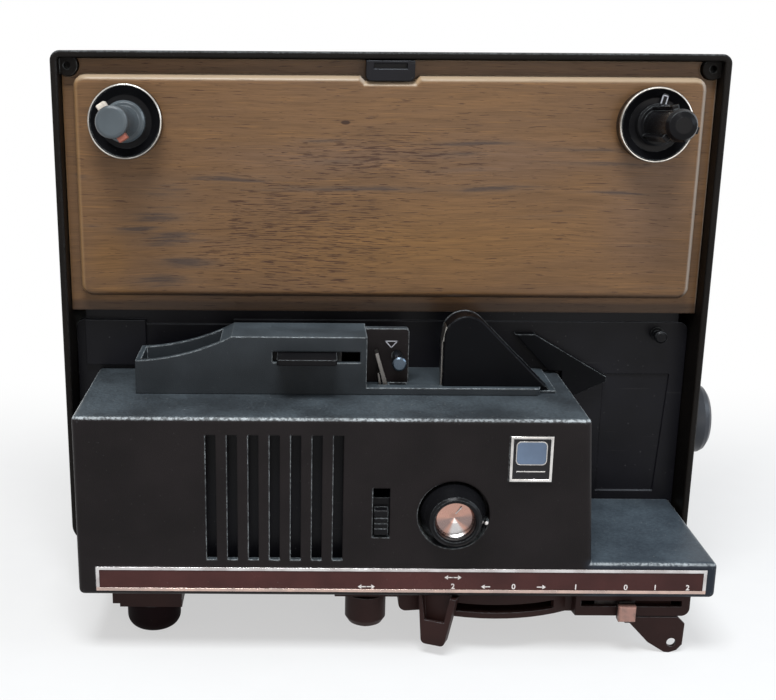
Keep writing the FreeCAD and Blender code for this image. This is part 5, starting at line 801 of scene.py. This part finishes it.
# %% Triangle, pointer and dot
TRIANGLE = [(-5.65, 121.25), (-0.79, 121.25), (-3.23, 118.51)]
plate_low, plate_high = (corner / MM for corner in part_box("load_plate"))
triangle = bmesh.new()
for (x0, z0), (x1, z1) in zip(TRIANGLE, TRIANGLE[1:] + TRIANGLE[:1]):
    plate(triangle, line_outline(x0, z0, x1, z1, 0.4), plate_low.y - 0.08, plate_low.y + 0.05)
make_piece("load_mark", triangle, "case", grey_ink_and_highlight)

disc_low, disc_high = (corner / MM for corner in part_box("focus_disc"))
CAP_LINE = ((0.55, 1.9), (2.5, 4.6))
CONE = 0.234
CONE_TIP = -78.5
middle = ((disc_low + disc_high) / 2)
# A fine white line on the cap, following its cone.
cap_line = bmesh.new()
plate(cap_line, line_outline(*CAP_LINE[0], *CAP_LINE[1], 0.42), -0.10, 0.12)
for vertex in cap_line.verts:
    vertex.co.y -= CONE * math.hypot(vertex.co.x, vertex.co.z)
bmesh.ops.translate(cap_line, verts=cap_line.verts, vec=(middle.x * MM, CONE_TIP * MM, middle.z * MM))
make_piece("focus_cap_line", cap_line, "focus", white_ink)

DOT = Vector((32.75, -76.0, 59.35)) * MM
dot_profile = [(-0.15, 0.0), (-0.15, 0.55), (0.15, 0.75), (0.45, 0.55), (0.55, 0.0)]
make_piece("focus_dot", lathe(dot_profile, DOT, (0, -1, 0), 32), "case", white_ink)

# %% [markdown]
# The right flange has a rib from its collar to its rim. Its edges carry a painted highlight: a bright line on each
# side and one across its end.

# %% Rib outline
RIB = (0.95, 6.3, 11.6)
RIB_TURN = -14.0
RIB_LINE = 0.4


# Painted highlight: a bright line along each side of the rib and one across its outer end.
def rib_edge_highlights():
    start, axis = spindle_axis("right")
    rim = max((Vector(c) - start).dot(axis) for c in corners_of("right_spindle_drum")) / MM
    half, near, far = RIB
    bm = bmesh.new()
    for x0, z0, x1, z1 in ((-half, near, -half, far), (half, near, half, far), (-half, far, half, far)):
        plate(bm, line_outline(x0, z0, x1, z1, RIB_LINE), -0.15, 0.45)
    upright = Matrix.Rotation(math.radians(-RIB_TURN), 4, "Y")
    lean = Vector((0, -1, 0)).rotation_difference(axis).to_matrix().to_4x4()
    place = Matrix.Translation(start + axis * (rim - 0.55) * MM)
    bmesh.ops.transform(bm, matrix=place @ lean @ upright, verts=bm.verts)
    return bm


make_piece("rib_edge_highlights", rib_edge_highlights(), "right_spindle", grey_ink_and_highlight)

# %% [markdown]
# ## Floor, backdrop and light
# The machine stands on a plain pale floor that fades to white with distance, so there is no horizon. One soft
# lamp hangs above the front, so that the spindles throw their shadows down the wood. A cool lamp on the right
# lights the sides that face it, a warm one in front fills the shadows, and the world gives an even light.

# %% Stage
FLOOR_SIZE = 12.0
FADE_NEAR = 0.02
FADE_FAR = 0.26
NEAR_GLOW = 0.55


def floor_finish():
    finish = Finish("pale_floor", Roughness=0.9, Specular_IOR_Level=0.0)
    fine = finish.noise(60.0, detail=3.0)
    tone = finish.blend(fine, (0.70, 0.70, 0.70), (0.74, 0.74, 0.74))
    finish.wear(Base_Color=tone)
    low, high = cad_low, cad_high
    aside = finish.math("MAXIMUM", finish.math("SUBTRACT", low.x, finish.x), finish.math("SUBTRACT", finish.x, high.x))
    along = finish.math("MAXIMUM", finish.math("SUBTRACT", low.y, finish.y), finish.math("SUBTRACT", finish.y, high.y))
    out = finish.math("MAXIMUM", aside, along)
    far = finish.between(out, FADE_NEAR, FADE_FAR, NEAR_GLOW, 1.0)
    path = finish.make("ShaderNodeLightPath")
    seen = finish.math("MAXIMUM", path.outputs["Is Camera Ray"], path.outputs["Is Glossy Ray"])
    seen = finish.math("MAXIMUM", seen, path.outputs["Is Transmission Ray"])
    white = finish.make("ShaderNodeEmission", {"Color": (1, 1, 1, 1), "Strength": 1.0})
    mixed = finish.make("ShaderNodeMixShader", {0: finish.math("MULTIPLY", far, seen), 1: finish.shader.outputs[0],
                                                2: white.outputs[0]})
    finish.tree.links.new(mixed.outputs[0], finish.tree.nodes["Material Output"].inputs["Surface"])
    return finish.material


floor_bm = bmesh.new()
bmesh.ops.create_grid(floor_bm, x_segments=2, y_segments=2, size=FLOOR_SIZE / 2)
floor_mesh = bpy.data.meshes.new("floor")
floor_bm.to_mesh(floor_mesh)
floor_bm.free()
floor_mesh.materials.append(floor_finish())
floor = bpy.data.objects.new("floor", floor_mesh)
bpy.context.scene.collection.objects.link(floor)

# %% Lamps and world
def soft_lamp(name, place, aim, size, watts, colour):
    data = bpy.data.lights.new(name, "AREA")
    data.shape = "RECTANGLE"
    data.size, data.size_y = size
    data.energy = watts
    data.color = colour
    lamp = bpy.data.objects.new(name, data)
    lamp.location = place
    lamp.rotation_euler = (Vector(aim) - Vector(place)).to_track_quat("-Z", "Y").to_euler()
    bpy.context.scene.collection.objects.link(lamp)
    return lamp


soft_lamp("ceiling_lamp", (-0.10, -0.45, 0.95), (0.0, 0.0, 0.14), (0.42, 0.30), 10.0, (0.95, 0.98, 1.0))
soft_lamp("window_lamp", (0.85, -0.20, 0.55), (0.05, 0.0, 0.10), (0.5, 0.5), 3.5, (0.75, 0.87, 1.0))
soft_lamp("fill_lamp", (0.3, -1.2, 0.25), (0.0, 0.0, 0.10), (0.9, 0.9), 3.0, (1.0, 0.93, 0.86))

WORLD_LIGHT = 0.40
world = bpy.data.worlds.new("studio")
world.use_nodes = True
bpy.context.scene.world = world
wnodes, wlinks = world.node_tree.nodes, world.node_tree.links
sky = wnodes["Background"]
sky.inputs["Color"].default_value = (1, 1, 1, 1)
sky.inputs["Strength"].default_value = WORLD_LIGHT
backdrop = wnodes.new("ShaderNodeBackground")
backdrop.inputs["Color"].default_value = (1, 1, 1, 1)
backdrop.inputs["Strength"].default_value = 1.0
path = wnodes.new("ShaderNodeLightPath")
seen = wnodes.new("ShaderNodeMath")
seen.operation = "MAXIMUM"
wlinks.new(path.outputs["Is Camera Ray"], seen.inputs[0])
wlinks.new(path.outputs["Is Glossy Ray"], seen.inputs[1])
through = wnodes.new("ShaderNodeMath")
through.operation = "MAXIMUM"
wlinks.new(seen.outputs[0], through.inputs[0])
wlinks.new(path.outputs["Is Transmission Ray"], through.inputs[1])
both = wnodes.new("ShaderNodeMixShader")
wlinks.new(through.outputs[0], both.inputs[0])
wlinks.new(sky.outputs[0], both.inputs[1])
wlinks.new(backdrop.outputs[0], both.inputs[2])
wlinks.new(both.outputs[0], wnodes["World Output"].inputs["Surface"])
